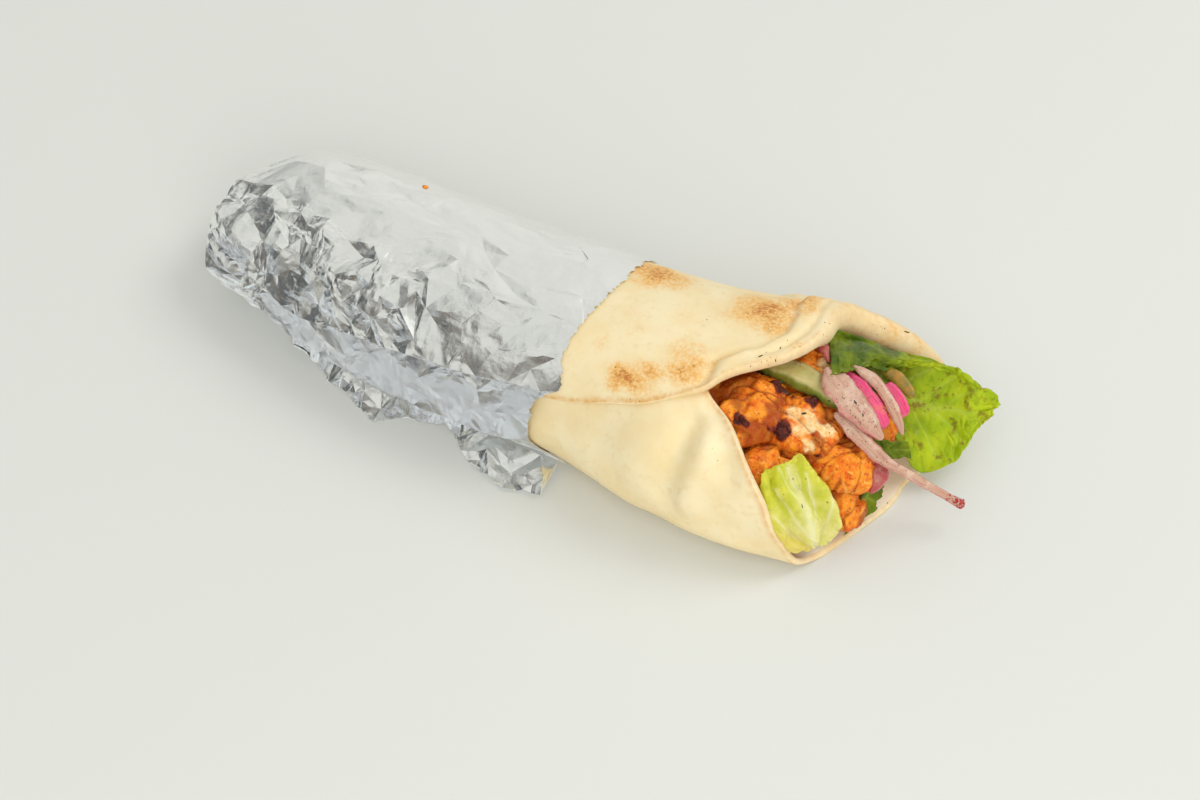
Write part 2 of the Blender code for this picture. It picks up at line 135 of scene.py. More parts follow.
def step(low, high, at):
    """0 below low, 1 above high, and a smooth rise between them."""
    t = np.clip((np.asarray(at, float) - low) / (high - low), 0, 1)
    return t * t * (3 - 2 * t)


def unit(vectors):
    """Vectors of the same directions, 1 long."""
    return vectors / np.maximum(np.linalg.norm(vectors, axis=-1, keepdims=True), 1e-9)


def bell(far, width=1.0):
    """1 where far is 0, falling to nothing beyond about twice the width."""
    return np.exp(-((far / width) ** 2))


def section_at(x):
    """Middle, half width, height, lift and front waist of the section at x."""
    values = smooth_columns(SECTIONS[:, 0], SECTIONS[:, 1:], np.atleast_1d(x)[..., None])
    return np.moveaxis(np.maximum(values, (-99, 0, 0, 0, 0)), -1, 0)


def roll_point(x, angle, depth, base):
    """The point at this x and angle, depth under the roll's outer surface and no lower than base."""
    x, angle, depth, base = np.broadcast_arrays(x, angle, depth, base)
    middle, half, height, lift, share = section_at(x)
    c, s = np.cos(np.radians(angle)), np.sin(np.radians(angle))
    waist = height * np.where(c < 0, share, BACK_WAIST)
    upper = s >= 0
    power = 2 / np.where(upper, TOP_POWER, BASE_POWER)
    reach = np.where(upper, height - waist, waist + SAG) - depth
    y = middle + (half - depth) * np.sign(c) * np.abs(c) ** power
    z = lift + waist + reach * np.sign(s) * np.abs(s) ** power
    return np.stack([x, y, np.maximum(z, base + lift)], axis=-1)


# Distance round the roll from its top, in millimetres, as a table against the angle.
ROUND_ANGLES = np.linspace(-90, 630, 2881)
ROUND = np.concatenate(
    [[0], np.cumsum(np.linalg.norm(np.diff(roll_point(0.0, ROUND_ANGLES, 0, 0), axis=0), axis=1))]
)
ROUND -= np.interp(90, ROUND_ANGLES, ROUND)


def round_at(angle):
    """Distance round the roll at this angle."""
    return np.interp(angle, ROUND_ANGLES, ROUND)


def angle_at(distance):
    """The angle at this distance round the roll."""
    return np.interp(distance, ROUND, ROUND_ANGLES)


def roll_normal(x, angle):
    """The roll's outward direction at this x and angle."""
    along = roll_point(x + 0.5, angle, 0, -9) - roll_point(x - 0.5, angle, 0, -9)
    around = roll_point(x, angle + 0.5, 0, -9) - roll_point(x, angle - 0.5, 0, -9)
    return unit(np.cross(around, along))


# The design frame's origin in the CAD's frame: the bread's tail and its widest place at the back say where.
widest = max(section_at(x)[0] + section_at(x)[1] for x in range(80, 111))[0]
bread_low, bread_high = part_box("flatbread")
ORIGIN = np.array([bread_low.x / MM - BREAD_TAIL, bread_high.y / MM - widest, 0.0])

# ---------------------------------------------------------------- noise


def scramble(cells, seed):
    """A repeatable number from 0 to 1 for each cell of whole numbers."""
    mixed = np.full(cells.shape[:-1], seed * 7919 + 101, np.uint64)
    for i, prime in zip(range(cells.shape[-1]), (73856093, 19349663, 83492791)):
        mixed = (mixed ^ (cells[..., i].astype(np.uint64) * np.uint64(prime))) * np.uint64(1099511628211)
        mixed = mixed ^ (mixed >> np.uint64(29))
    return (mixed >> np.uint64(11)).astype(float) / 2.0**53


def soft_noise(points, size, seed):
    """Smooth noise from -1 to 1, with lumps of this size."""
    at = np.asarray(points, float) / size
    cell = np.floor(at).astype(np.int64)
    part = at - cell
    part = part**3 * (part * (part * 6 - 15) + 10)
    total = 0.0
    for corner in itertools.product((0, 1), repeat=at.shape[-1]):
        weight = np.prod(np.where(corner, part, 1 - part), axis=-1)
        total = total + weight * scramble(cell + corner, seed)
    return 2 * total - 1


def cloud(points, size, seed, octaves=3, keep=0.5):
    """Soft noise in several sizes, each half as large and keep as strong as the one before."""
    total, strength, sum_of = 0.0, 1.0, 0.0
    for k in range(octaves):
        total = total + strength * soft_noise(np.asarray(points) + 3.7 * k, size / 2**k, seed + k)
        sum_of += strength
        strength *= keep
    return total / sum_of


def line_distance(x, y, line):
    """Distance from a line of (x, y) points, and how far along the line the nearest place is."""
    best = np.full(np.shape(x), 1e9)
    share = np.zeros(np.shape(x))
    for k, (a, b) in enumerate(zip(line[:-1], line[1:])):
        run = b - a
        t = np.clip(((x - a[0]) * run[0] + (y - a[1]) * run[1]) / (run @ run), 0, 1)
        d = np.hypot(x - a[0] - t * run[0], y - a[1] - t * run[1])
        share = np.where(d < best, (k + t) / (len(line) - 1), share)
        best = np.minimum(best, d)
    return best, share


def roll_line(points):
    """A line of (x, angle) points on the roll as x and the distance round the roll."""
    return np.array([(x, round_at(angle)) for x, angle in points], float)


def beside(values, start=0.0):
    """Places in a row for noise to be read at."""
    return np.stack([values + start, values * 0 + start], axis=-1)


# ---------------------------------------------------------------- meshes and materials


def piece(name, points, faces, look, nodes=(), values=None, sharp=None):
    """A mesh piece from points in the design frame, riding on the root body and standing for nodes. Bends of
    more than sharp degrees get sharp edges."""
    mesh = bpy.data.meshes.new(name)
    mesh.from_pydata(((np.asarray(points) + ORIGIN) * MM).tolist(), [], [list(f) for f in faces])
    for label, data in (values or {}).items():
        stored = mesh.attributes.new(label, "FLOAT", "POINT")
        stored.data.foreach_set("value", np.asarray(data, np.float32).ravel())
    sculpt = bmesh.new()
    sculpt.from_mesh(mesh)
    bmesh.ops.remove_doubles(sculpt, verts=sculpt.verts, dist=1e-6)
    bmesh.ops.recalc_face_normals(sculpt, faces=sculpt.faces)
    sculpt.to_mesh(mesh)
    sculpt.free()
    mesh.materials.append(look)
    mesh.shade_smooth()
    if sharp is not None:
        mesh.set_sharp_from_angle(angle=math.radians(sharp))
    made = bpy.data.objects.new(name, mesh)
    bpy.context.scene.collection.objects.link(made)
    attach(made, "root")
    if nodes:
        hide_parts(*nodes)
    return made


def grid_faces(rows, columns, around=False):
    """Quads of a grid of points, closed on itself in the column direction if around is set."""
    i, j = np.meshgrid(np.arange(rows - 1), np.arange(columns if around else columns - 1), indexing="ij")
    k = (j + 1) % columns
    corners = ((i, j), (i, k), (i + 1, k), (i + 1, j))
    return np.stack([row * columns + column for row, column in corners], axis=-1).reshape(-1, 4).tolist()


def closed_tube(rows, columns):
    """Quads round a tube of points and one face at each of its ends."""
    ends = [list(range(start, start + columns)) for start in (0, (rows - 1) * columns)]
    return grid_faces(rows, columns, around=True) + ends


class Nodes:
    """A tree of nodes, made one at a time."""

    def __init__(self, tree, coordinates):
        self.tree = tree
        self.place = self.node("ShaderNodeTexCoord").outputs[coordinates]

    def node(self, kind, **settings):
        made = self.tree.nodes.new(kind)
        for label, value in settings.items():
            setattr(made, label, value)
        return made

    def link(self, source, target):
        if isinstance(source, (int, float)):
            target.default_value = source
        elif isinstance(source, tuple):
            target.default_value = (*source, 1)[: len(target.default_value)]
        else:
            self.tree.links.new(source, target)

    def noise(self, size, detail=3.0, rough=0.55, place=None, distortion=0.0):
        made = self.node("ShaderNodeTexNoise")
        settings = {"Scale": 1 / size, "Detail": detail, "Roughness": rough, "Distortion": distortion}
        for label, value in (settings | {"Vector": place or self.place}).items():
            self.link(value, made.inputs[label])
        return made.outputs["Fac"]

    def sums(self, operation, *terms):
        made = self.node("ShaderNodeMath", operation=operation)
        for socket, term in zip(made.inputs, terms):
            self.link(term, socket)
        return made.outputs[0]

    def times(self, *terms):
        return self.sums("MULTIPLY", *terms)

    def spread(self, value, low, high, bottom=0.0, top=1.0):
        """Value from low to high becomes bottom to top, smoothly and held there outside."""
        made = self.node("ShaderNodeMapRange", interpolation_type="SMOOTHSTEP")
        for socket, term in zip(made.inputs, (value, low, high, bottom, top)):
            self.link(term, socket)
        return made.outputs[0]

    def patches(self, size, low, high, *ends, detail=3.0, rough=0.55, **more):
        """Soft patches of this size, from the noise spread between low and high."""
        return self.spread(self.noise(size, detail, rough, **more), low, high, *ends)

    def mix(self, share, first, second):
        made = self.node("ShaderNodeMix", data_type="RGBA")
        for source, target in ((share, 0), (first, 6), (second, 7)):
            self.link(source, made.inputs[target])
        return made.outputs[2]


class Look(Nodes):
    """A material. Its coordinates are in millimetres. Flesh is the weight, radius and scale of the light that
    runs under the surface, and coat the weight and roughness of a wet film."""

    def __init__(self, name, roughness=0.5, flesh=None, coat=None, **sockets):
        self.material = bpy.data.materials.new(name)
        self.material.use_nodes = True
        super().__init__(self.material.node_tree, "Object")
        self.shader = self.tree.nodes["Principled BSDF"]
        scale = self.node("ShaderNodeVectorMath", operation="SCALE")
        scale.inputs["Scale"].default_value = 1 / MM
        self.link(self.place, scale.inputs[0])
        self.place = scale.outputs[0]
        sockets["Roughness"] = roughness
        if flesh:
            sockets |= dict(zip(("Subsurface_Weight", "Subsurface_Radius", "Subsurface_Scale"), flesh))
        if coat:
            sockets |= dict(zip(("Coat_Weight", "Coat_Roughness"), coat))
        for label, value in sockets.items():
            self.shader.inputs[label.replace("_", " ")].default_value = value

    def cells(self, size, distance="EUCLIDEAN"):
        made = self.node("ShaderNodeTexVoronoi", distance=distance)
        made.inputs["Scale"].default_value = 1 / size
        self.link(self.place, made.inputs["Vector"])
        return made.outputs["Distance"]

    def plane(self, first, second, first_scale, second_scale):
        """Coordinates made of two of the mesh's own values, each multiplied."""
        made = self.node("ShaderNodeCombineXYZ")
        self.link(self.times(self.value(first), first_scale), made.inputs[0])
        self.link(self.times(self.value(second), second_scale), made.inputs[1])
        return made.outputs[0]

    def value(self, label):
        return self.node("ShaderNodeAttribute", attribute_name=label).outputs["Fac"]

    def from_middle(self, *ends):
        """The value across a strip, without its sign, spread."""
        return self.spread(self.sums("ABSOLUTE", self.value("across")), *ends)

    def dots(self, size, edge, core, *patches):
        """Round dots of about this size, in some patches only."""
        return self.times(self.spread(self.cells(size), edge, core), self.patches(*patches, detail=2))

    def bump(self, height, distance, strength=1.0, under=None):
        """A bump whose height, from 0 to 1, spans this distance in millimetres."""
        made = self.node("ShaderNodeBump")
        made.inputs["Strength"].default_value = strength
        made.inputs["Distance"].default_value = distance * MM
        self.link(height, made.inputs["Height"])
        if under is not None:
            self.link(under, made.inputs["Normal"])
        return made.outputs[0]

    def done(self, colour, roughness=None, normal=None):
        for label, source in (("Base Color", colour), ("Roughness", roughness), ("Normal", normal)):
            if source is not None:
                self.link(source, self.shader.inputs[label])
        return self.material


# ---------------------------------------------------------------- foil

# Lines along the foil as (x, angle): where the smooth top ends and the strong creases begin, the fold below
# them, and the end of the flat band under the fold.
SMOOTH_END = (
    (-150, 88), (-133, 96), (-108, 101), (-96, 106), (-84, 104), (-66, 98), (-50, 97), (-43, 102), (-32, 109),
    (-17, 108), (-1, 106),
)
FOLD = (
    (-150, 156), (-135, 157), (-124, 161), (-105, 168), (-88, 162.5), (-65, 159), (-54, 156.5), (-32, 154),
    (-17, 151), (-4, 150),
)
BAND_END = ((-150, 166), (-135, 172), (-118, 181), (-100, 186), (0, 187))
FOLD_START = -131.0  # the fold's and the band's x at the tail's end
FOLD_LIP = 0.9  # how far round the roll it is from the fold to the flat band's upper edge, under it
BAND_LIP = 3.0  # how far round the roll it is from the band's lower edge to the foil tucked under it
# Creases along those lines: how far round the roll each is from its line, and its height.
FOLD_CREASES = ((FOLD, 0, 2.3), (FOLD, FOLD_LIP, 0.9), (BAND_END, 0, 2.7), (BAND_END, BAND_LIP, -0.4))
FOIL_SIDES = (-25.0, 335.0)  # the angles of the sheet's two long sides, which are one place
FOIL_OUT = FOIL_CLEAR + FOIL
FOIL_SHARP = 13.0  # the foil's creases are sharp where it bends more than this many degrees
CAP_RUN = 17.0  # the foil's length past the tail's end, where it closes
CAP_SHUT = 0.9  # the share of that length after which a flat end shuts it
TURNED_IN = 0.12  # how far the mouth's edge is turned in
RIDGE_REACH = 0.6  # how far from its line a ridge sets the height, and how much higher it is than stated
RIDGE_BOOST = 1.15
BAND_RISE = 1.7  # how far the flat band's creases stand out, and how much they differ
BAND_ROUGH = 1.6
MIDDLE_STRAY = 0.24  # how far from the middle of a side a finer crease may start, as a share of the side
FIXED_CLEAR = 0.55  # how near scattered points may come to the lines, as a share of their spacing
# The foil's inner side: how far behind its edge, and how deep under the roll's surface.
INNER_SIDE = ((1, -0.4), (3, -0.4), (12, -0.35), (25, 1.4), (40, 1.4), (80, 1.4), (120, 1.4), (142, 1.4))

# For each zone (the smooth top, the creased front, the calmer front and the tail): how high its first creases
# stand, how large its facets are along the roll and round it, how deep its three finer sets of creases are,
# how closely those follow the roll's bend, and how dull it is.
CREASE_HEIGHT = (0.75, 1.7, 0.9, 2.7)
FACET_LENGTH = (14, 8.5, 11, 7.5)
FACET_WIDTH = (9, 7.5, 8, 7.5)
FINER_DEPTHS = ((0.30, 0.66, 0.36, 0.95), (0.09, 0.24, 0.12, 0.30), (0.026, 0.07, 0.035, 0.08))
BEND_KEPT = (0.55, 0.12, 0.25, 0)
DULL = (1, 0, 0.45, 0)

# Single ridges in the foil: (x, angle) points and height. A negative height is a groove.
FOIL_RIDGES = (
    (((-106, 103), (-106, 110), (-104, 121)), 1.9),
    (((-104, 122), (-102, 131), (-101, 141), (-106, 159)), 1.7),
    (((-108, 122), (-104, 132), (-100, 141)), 0.9),
    (((-102, 120), (-98, 128), (-98, 136), (-93, 142), (-90, 150), (-92, 161)), 1.6),
    (((-85, 107), (-80, 114), (-86, 125), (-90, 136), (-88, 146)), 1.6),
    (((-126, 118), (-126, 133), (-127, 153)), 1.7),
    (((-113, 121), (-118, 136), (-122, 152)), 1.5),
    (((-80, 128), (-81, 143), (-82, 155)), 1.6),
    (((-70, 118), (-74, 132), (-73, 146), (-76, 158)), 1.3),
    (((-62, 121), (-65, 134), (-67, 141), (-64, 156)), 1.1),
    (((-47, 104), (-36, 107), (-33, 110), (-17, 108), (-2, 107)), 1.1),
    (((-34, 110), (-37, 119), (-41, 128), (-39, 139)), 1.2),
    (((-38, 146), (-27, 139), (-15, 132), (-5, 130)), 1.0),
    (((-25, 113), (-27, 122), (-24, 133)), 0.7),
    (((-56, 128), (-48, 126), (-40, 128)), 0.8),
    (((-70, 91), (-58, 87), (-50, 92), (-43, 100)), 0.5),
    (((-86, 97), (-76, 99), (-68, 92)), 0.45),
    (((-120, 62), (-104, 58), (-88, 62), (-70, 60)), 0.4),
    (((-60, 66), (-44, 60), (-22, 66)), 0.4),
    (((-118, 96), (-108, 88), (-96, 84), (-84, 86)), 0.5),
    (((-98, 80), (-84, 74), (-66, 76)), -0.4),
    (((-66, 84), (-52, 80), (-38, 86), (-20, 88)), 0.5),
    (((-40, 94), (-24, 98), (-6, 94)), 0.4),
    (((-76, 62), (-64, 52), (-48, 50)), 0.45),
    (((-48, 72), (-34, 74), (-14, 70)), -0.35),
    (((-136, 70), (-122, 74), (-108, 70)), 0.5),
    (((-28, 50), (-14, 54), (-4, 48)), 0.4),
    (((-108, 44), (-92, 40), (-76, 44)), 0.5),
    (((-124, 38), (-112, 34), (-100, 36)), 0.6),
    (((-62, 36), (-46, 32), (-30, 36)), 0.5),
    (((-20, 60), (-12, 72), (-3, 80)), 0.35),
)


def foil_zones(x, angle):
    """How much of each place is smooth top, strongly creased front, calmer front near the mouth, and crushed
    tail; they add up to 1."""
    angle = np.where(angle > FOIL_SIDES[1] - 0.1, angle - 360, angle)
    top, fold = curve(SMOOTH_END, x), curve(FOLD, x)
    tail_end = np.where(angle > 150, -121, -128)
    tail = (1 - step(tail_end - 5, tail_end + 2, x)) * step(86, 96, angle) * (1 - step(215, 235, angle))
    tail = np.maximum(tail, step(-141, -149, x))
    front = step(top - 2, top + 2, angle) * (1 - step(fold, fold + 3, angle)) * (1 - tail)
    back = 0.5 * step(35, 15, angle) * (1 - tail)
    calmer = step(-62, -50, x) * front
    strong = front - calmer + back
    return 1 - tail - calmer - strong, strong, calmer, tail


def weigh(zones, values):
    """One value for each place from the shares of its zones and each zone's value."""
    return sum(share * value for share, value in zip(zones, values))


def either_way(rng, count):
    """Random numbers from -1 to 1."""
    return 2 * rng.random(count) - 1


def triangle_sides(faces):
    """The sides of all triangles: the first side of each, then the second ones and the third ones."""
    return np.concatenate([faces[:, pair] for pair in ((0, 1), (1, 2), (2, 0))])


def scattered_points(rng, fixed, low, high, spacing, tries):
    """Random points between two corners, none nearer to another or to a fixed one than the spacing there."""
    tried = low + rng.random((tries, 2)) * (np.array(high) - low)
    apart = spacing(*tried.T)
    kept = np.concatenate([fixed, np.zeros((tries, 2))])
    count = len(fixed)
    for place, gap in zip(tried, apart):
        far = np.hypot(*((kept[:count] - place) / gap).T)
        if far[: len(fixed)].min() > FIXED_CLEAR and far[len(fixed):].min(initial=9) > 1:
            kept[count] = place
            count += 1
    return kept[:count]


def creased_sheet(outline, lines, spacing, tries, place, offset, depths, follow, seed):
    """A sheet creased along lines and between scattered points, then in finer and finer creases.

    place gives the even surface and its normals at flat (u, v) places, and offset the height of the first
    creases. depths are the strengths of the finer sets, and follow says how closely those keep to the
    surface's bend."""
    rng = np.random.default_rng(seed)
    flat, edges = [], []
    for line in (outline, *lines):
        first = len(flat)
        flat += [tuple(p) for p in line]
        edges += [(k, k + 1) for k in range(first, len(flat) - 1)]
    edges.insert(len(outline) - 1, (len(outline) - 1, 0))
    low, high = np.min(outline, axis=0), np.max(outline, axis=0)
    spots = scattered_points(rng, np.array(flat, float), low, high, spacing, tries)
    made = delaunay_2d_cdt([Vector(p) for p in spots], edges, [], 1, 1e-4)
    flat = np.array([p[:] for p in made[0]])
    faces = np.array(made[2])
    even, normal = place(*flat.T)
    shift = normal * offset(rng, *flat.T)[:, None]
    points = even + shift
    for depth in depths:
        # Each triangle becomes four. The middle of each side follows the bend in part, and moves a little.
        sides, index = np.unique(np.sort(triangle_sides(faces), axis=1), axis=0, return_inverse=True)
        a, b = sides.T
        share = 0.5 + MIDDLE_STRAY * (rng.random(len(sides)) - 0.5)
        share[flat[a, 1] == flat[b, 1]] = 0.5
        share = share[:, None]
        between = flat[a] + share * (flat[b] - flat[a])
        even, normal = place(*between.T)
        shared = shift[a] + share * (shift[b] - shift[a])
        keep = follow(*between.T)[:, None]
        moved = normal * (depth(*between.T) * either_way(rng, len(sides)))[:, None]
        fresh = keep * (even + shared) + (1 - keep) * (points[a] + share * (points[b] - points[a])) + moved
        ab, bc, ca = index.reshape(3, -1) + len(flat)
        a, b, c = faces.T
        parts = ((a, ab, ca), (ab, b, bc), (ca, bc, c), (ab, bc, ca))
        faces = np.concatenate([np.stack(part, axis=-1) for part in parts])
        flat, points = np.concatenate([flat, between]), np.concatenate([points, fresh])
        shift = np.concatenate([shift, fresh - even])
    return flat, points, faces


def foil_look():
    """Bright metal with fine creases between its modelled ones."""
    look = Look("foil", Metallic=1.0)
    tone = look.mix(look.noise(14, 2), (0.875, 0.88, 0.85), (0.945, 0.945, 0.91))
    rough = look.patches(6, 0.3, 0.7, 0.19, 0.27)
    rough = look.sums("ADD", rough, look.times(look.value("dull"), 0.10))
    creases = look.bump(look.cells(3.4, distance="MANHATTAN"), 0.5, 0.16)
    finer = look.bump(look.cells(1.5, distance="MANHATTAN"), 0.2, 0.14, creases)
    return look.done(tone, rough, look.bump(look.noise(0.5, 2, 0.6), 0.03, 0.12, finer))


def foil_edge(angle):
    """The x of the foil's mouth at this angle."""
    return curve(FOIL_EDGE, np.mod(angle, 360))


def foil_place(x, around):
    """The foil's surface and outward direction if it were even. Past the tail's end it closes."""
    angle = angle_at(around)
    edge = foil_edge(angle)
    past = np.clip((FOIL_TAIL - x) / CAP_RUN, 0, 1)[:, None]
    on_roll = np.maximum(x, FOIL_TAIL)
    even = roll_point(on_roll, angle, 0.9 * step(edge - 9, edge, x) - FOIL_OUT, 0.0)
    middle, _, height, lift, _ = section_at(FOIL_TAIL)
    even = even + past * (np.array([FOIL_TAIL - 3.0, middle[0], lift[0] + 0.45 * height[0]]) - even)
    return even, unit(roll_normal(on_roll, angle) * (1 - past) + np.array([-1.0, 0, 0]) * past)


def on_line(x, around, line, reach=0.4):
    """1 on a line of (x, angle) points and 0 beyond this reach, and past the lines' end at the tail."""
    return np.clip(1 - np.abs(around - round_at(curve(line, x))) / reach, 0, 1) * (x > FOLD_START - 1)


def on_band(x, around):
    """1 on the flat band under the fold, 0 elsewhere."""
    fold, end = round_at(curve(FOLD, x)), round_at(curve(BAND_END, x))
    return ((around > fold + 0.3) & (around < end - 0.3) & (x > FOLD_START)).astype(float)


def foil_settled(x, around):
    """How freely each place may stand out: less at the mouth's edge, and not at all underneath."""
    angle = angle_at(around)
    edge = foil_edge(angle)
    low = step(212, 232, angle) * step(338, 318, angle) * step(-148, -138, x)
    seam = step(FOIL_SIDES[0] + 0.1, -20, angle) * step(FOIL_SIDES[1] - 0.1, 330, angle)
    return (0.25 + 0.75 * step(edge - 1, edge - 12, x)) * (1 - low) * seam


def foil_offset(rng, x, around):
    """Heights of the foil's first creases: random ones, the ridges and those along the fold."""
    zones = foil_zones(x, angle_at(around))
    height = weigh(zones, CREASE_HEIGHT) * either_way(rng, len(x)) - 1.2 * zones[3]
    height = np.where(on_band(x, around) > 0, BAND_ROUGH * either_way(rng, len(x)) + BAND_RISE, height)
    for points, rise in FOIL_RIDGES:
        distance, share = line_distance(x, around, roll_line(points))
        fade = step(0, 0.18, share) * (1 - step(0.82, 1, share)) * 0.6 + 0.4
        near = np.clip(1 - distance / RIDGE_REACH, 0, 1)
        height = height * (1 - near) + RIDGE_BOOST * rise * fade * near
    for line, below, rise in FOLD_CREASES:
        near = on_line(x, around - below, line)
        height = height * (1 - near) + near * (rise + 0.3 * either_way(rng, len(x)))
    return height * foil_settled(x, around)


def foil_outline():
    """The outline of the foil's flat sheet as (x, distance round the roll), its mouth's edge, and the x where
    its end is shut."""
    low, high = round_at(FOIL_SIDES)
    shut = FOIL_TAIL - CAP_RUN * CAP_SHUT
    rounds = np.linspace(low, high, 84)
    mouth = np.stack([foil_edge(angle_at(rounds)), rounds], axis=-1)
    side = np.linspace(mouth[-1, 0], shut, 16)[1:-1]
    closing = [(shut, r) for r in np.linspace(high, low, 7)]
    return [*mouth, *[(x, high) for x in side], *closing, *[(x, low) for x in side[::-1]]], mouth, shut


def foil_spacing(x, around):
    """How large the foil's facets are at each place, along the roll and round it."""
    angle = angle_at(around)
    zones, hidden, band = foil_zones(x, angle), step(225, 250, angle), on_band(x, around)
    past = np.clip((FOIL_TAIL - x) / CAP_RUN, 0, CAP_SHUT)
    along = weigh(zones, FACET_LENGTH) + 6 * hidden - 5 * band
    across = weigh(zones, FACET_WIDTH) + 8 * hidden - 4 * band
    return np.stack([along, across / (1 - past)], axis=-1)


def foil_depth(depths, x, around):
    """How deep a set of finer creases is at each place."""
    band = on_band(x, around) * (depths[1] - depths[0]) * 0.8
    return (weigh(foil_zones(x, angle_at(around)), depths) + band) * foil_settled(x, around)


def foil_follow(x, around):
    """How closely finer creases follow the roll's bend at each place."""
    return weigh(foil_zones(x, angle_at(around)), BEND_KEPT) * (1 - on_band(x, around))


def foil_wrapper(look):
    """The foil cup: its creased outer side, its turned-in edge, its plain inner side and its shut end."""
    outline, mouth, shut = foil_outline()
    xs = np.linspace(FOLD_START, -6.5, 22)
    lines = [np.stack([xs, round_at(curve(line, xs)) + below], axis=-1) for line, below, _ in FOLD_CREASES]
    lines += [roll_line(points) for points, _ in FOIL_RIDGES]
    finer = [functools.partial(foil_depth, depths) for depths in FINER_DEPTHS]
    flat, points, faces = creased_sheet(
        outline, lines, foil_spacing, tries=9000, place=foil_place, offset=foil_offset, depths=finer,
        follow=foil_follow, seed=40,
    )
    points[:, 2] = np.maximum(points[:, 2], 0.05)
    angle = angle_at(flat[:, 1])
    # The mouth's edge, in order round the roll, is torn unevenly and turned in.
    rim = np.flatnonzero(np.abs(flat[:, 0] - np.interp(flat[:, 1], mouth[:, 1], mouth[:, 0])) < 0.02)
    rim = rim[np.argsort(flat[rim, 1])]
    around = beside(flat[rim, 1])
    torn = 0.8 * soft_noise(around, 0.8, 5) + 0.5 * soft_noise(around, 6, 8)
    torn[-1] = torn[0]
    points[rim, 0] += np.maximum(torn, -0.35)
    turned = points[rim] - roll_normal(flat[rim, 0], angle[rim]) * TURNED_IN
    turned[:, 2] = np.maximum(turned[:, 2], TURNED_IN)
    inner = [turned]
    for back, deep in INNER_SIDE:
        inner.append(roll_point(np.maximum(points[rim, 0] - back, FOIL_TAIL + 4), angle[rim], deep, 0.5))
    count = len(rim)
    faces = faces.tolist()
    index = np.concatenate([rim, len(points) + np.arange(len(inner) * count)]).reshape(-1, count)
    for p, q in zip(index[:-1], index[1:]):
        faces += [[p[j], p[j + 1], q[j + 1], q[j]] for j in range(count - 1)]
    faces.append(index[-1].tolist())
    shut_ring = np.flatnonzero(flat[:, 0] < shut + 1e-6)
    faces.append(shut_ring[np.argsort(flat[shut_ring, 1])].tolist())
    dull = np.clip(weigh(foil_zones(flat[:, 0], angle), DULL), 0, 1) * (angle < 215)
    dull = np.concatenate([dull, np.zeros(len(inner) * count)])
    points = np.concatenate([points, *inner])
    values = {"dull": dull}
    return piece("foil_wrapper_creased", points, faces, look, ["foil_wrapper"], values, FOIL_SHARP)


# The outer edges of the gathered foil along the front, low down, and of its loose corner, as (x, y).
SKIRT_EDGE = (
    (-112, -19), (-101, -28), (-93.5, -32), (-82.5, -38), (-74.5, -40.5), (-66, -43.5), (-62.5, -39),
    (-58, -36.2), (-50, -35.8), (-42, -35.6), (-34, -37.5),
)
FLAP_EDGE = ((-40, -36.5), (-36, -41), (-27, -47), (-14, -54), (-9.5, -51.5), (4, -49), (6, -41))
RUFFLE_ANGLE = 190  # where the gathered foil starts on the roll, and how deep under the foil's surface
RUFFLE_DEEP = 2.2
RUFFLE_LEAST = 0.8  # the least it reaches out from there
RUFFLE_THICK = 0.25
RUFFLE_FINER = (0.34, 0.11, 0.035)  # the depths of its finer creases, as shares of its first ones'


def foil_ruffle(name, outline, look, seed, size, strength, lift, start_height):
    """A crumpled sheet from under the flat band out to an outline, lying on the floor. Its facets have this
    size and its creases this strength, and it bulges by lift on its way down from its start's height."""
    ends = np.array(outline, float)

    def start_at(x):
        return roll_point(x, RUFFLE_ANGLE, RUFFLE_DEEP - FOIL_OUT, 0.0)[:, 1]

    def height_at(x, y):
        start = start_at(x)
        t = np.clip((y - start) / np.minimum(np.interp(x, *ends.T) - start, -RUFFLE_LEAST), 0, 1)
        return t, start_height * (1 - t) ** 1.2 + lift * (1 - np.abs(2 * t**0.8 - 1))

    def place(x, y):
        return np.stack([x, y, height_at(x, y)[1]], axis=-1), np.broadcast_to(UPWARDS, (len(x), 3))

    xs = np.arange(ends[0, 0], ends[-1, 0] + 0.1, 0.62 * size)
    rough = 1.3 * either_way(np.random.default_rng(seed), len(xs))
    outer = np.stack([xs, np.minimum(np.interp(xs, *ends.T) + rough, start_at(xs) - RUFFLE_LEAST)], axis=-1)
    start = np.stack([xs, start_at(xs)], axis=-1)
    _, points, faces = creased_sheet(
        [*outer, *start[::-1]], [], lambda x, y: np.broadcast_to((size, size), (len(x), 2)), 4000, place,
        offset=lambda rng, x, y: strength * either_way(rng, len(x)) * np.minimum(1, 5 * height_at(x, y)[0]),
        depths=[lambda x, y, share=share: np.full(len(x), strength * share) for share in RUFFLE_FINER],
        follow=lambda x, y: np.zeros(len(x)), seed=seed,
    )
    points[:, 2] = 0.5 + np.abs(points[:, 2])
    known = {tuple(side) for side in triangle_sides(faces).tolist()}
    count = len(points)
    walls = [[a, b, b + count, a + count] for a, b in known if (b, a) not in known]
    faces = faces.tolist() + (faces[:, ::-1] + count).tolist() + sorted(walls)
    points = np.concatenate([points, points - (0, 0, RUFFLE_THICK)])
    return piece(name, points, faces, look, values={"dull": np.zeros(2 * count)}, sharp=FOIL_SHARP)


# ---------------------------------------------------------------- bread

# Distance from the mouth's edge of the crease where the hem is turned back, and the hem's rise, by angle.
HEM_CREASE = ((372, 9), (384, 14), (400, 16), (418, 15), (441, 11), (456, 7.5), (470, 2.5), (480, 2))
HEM_RISE = 2.3
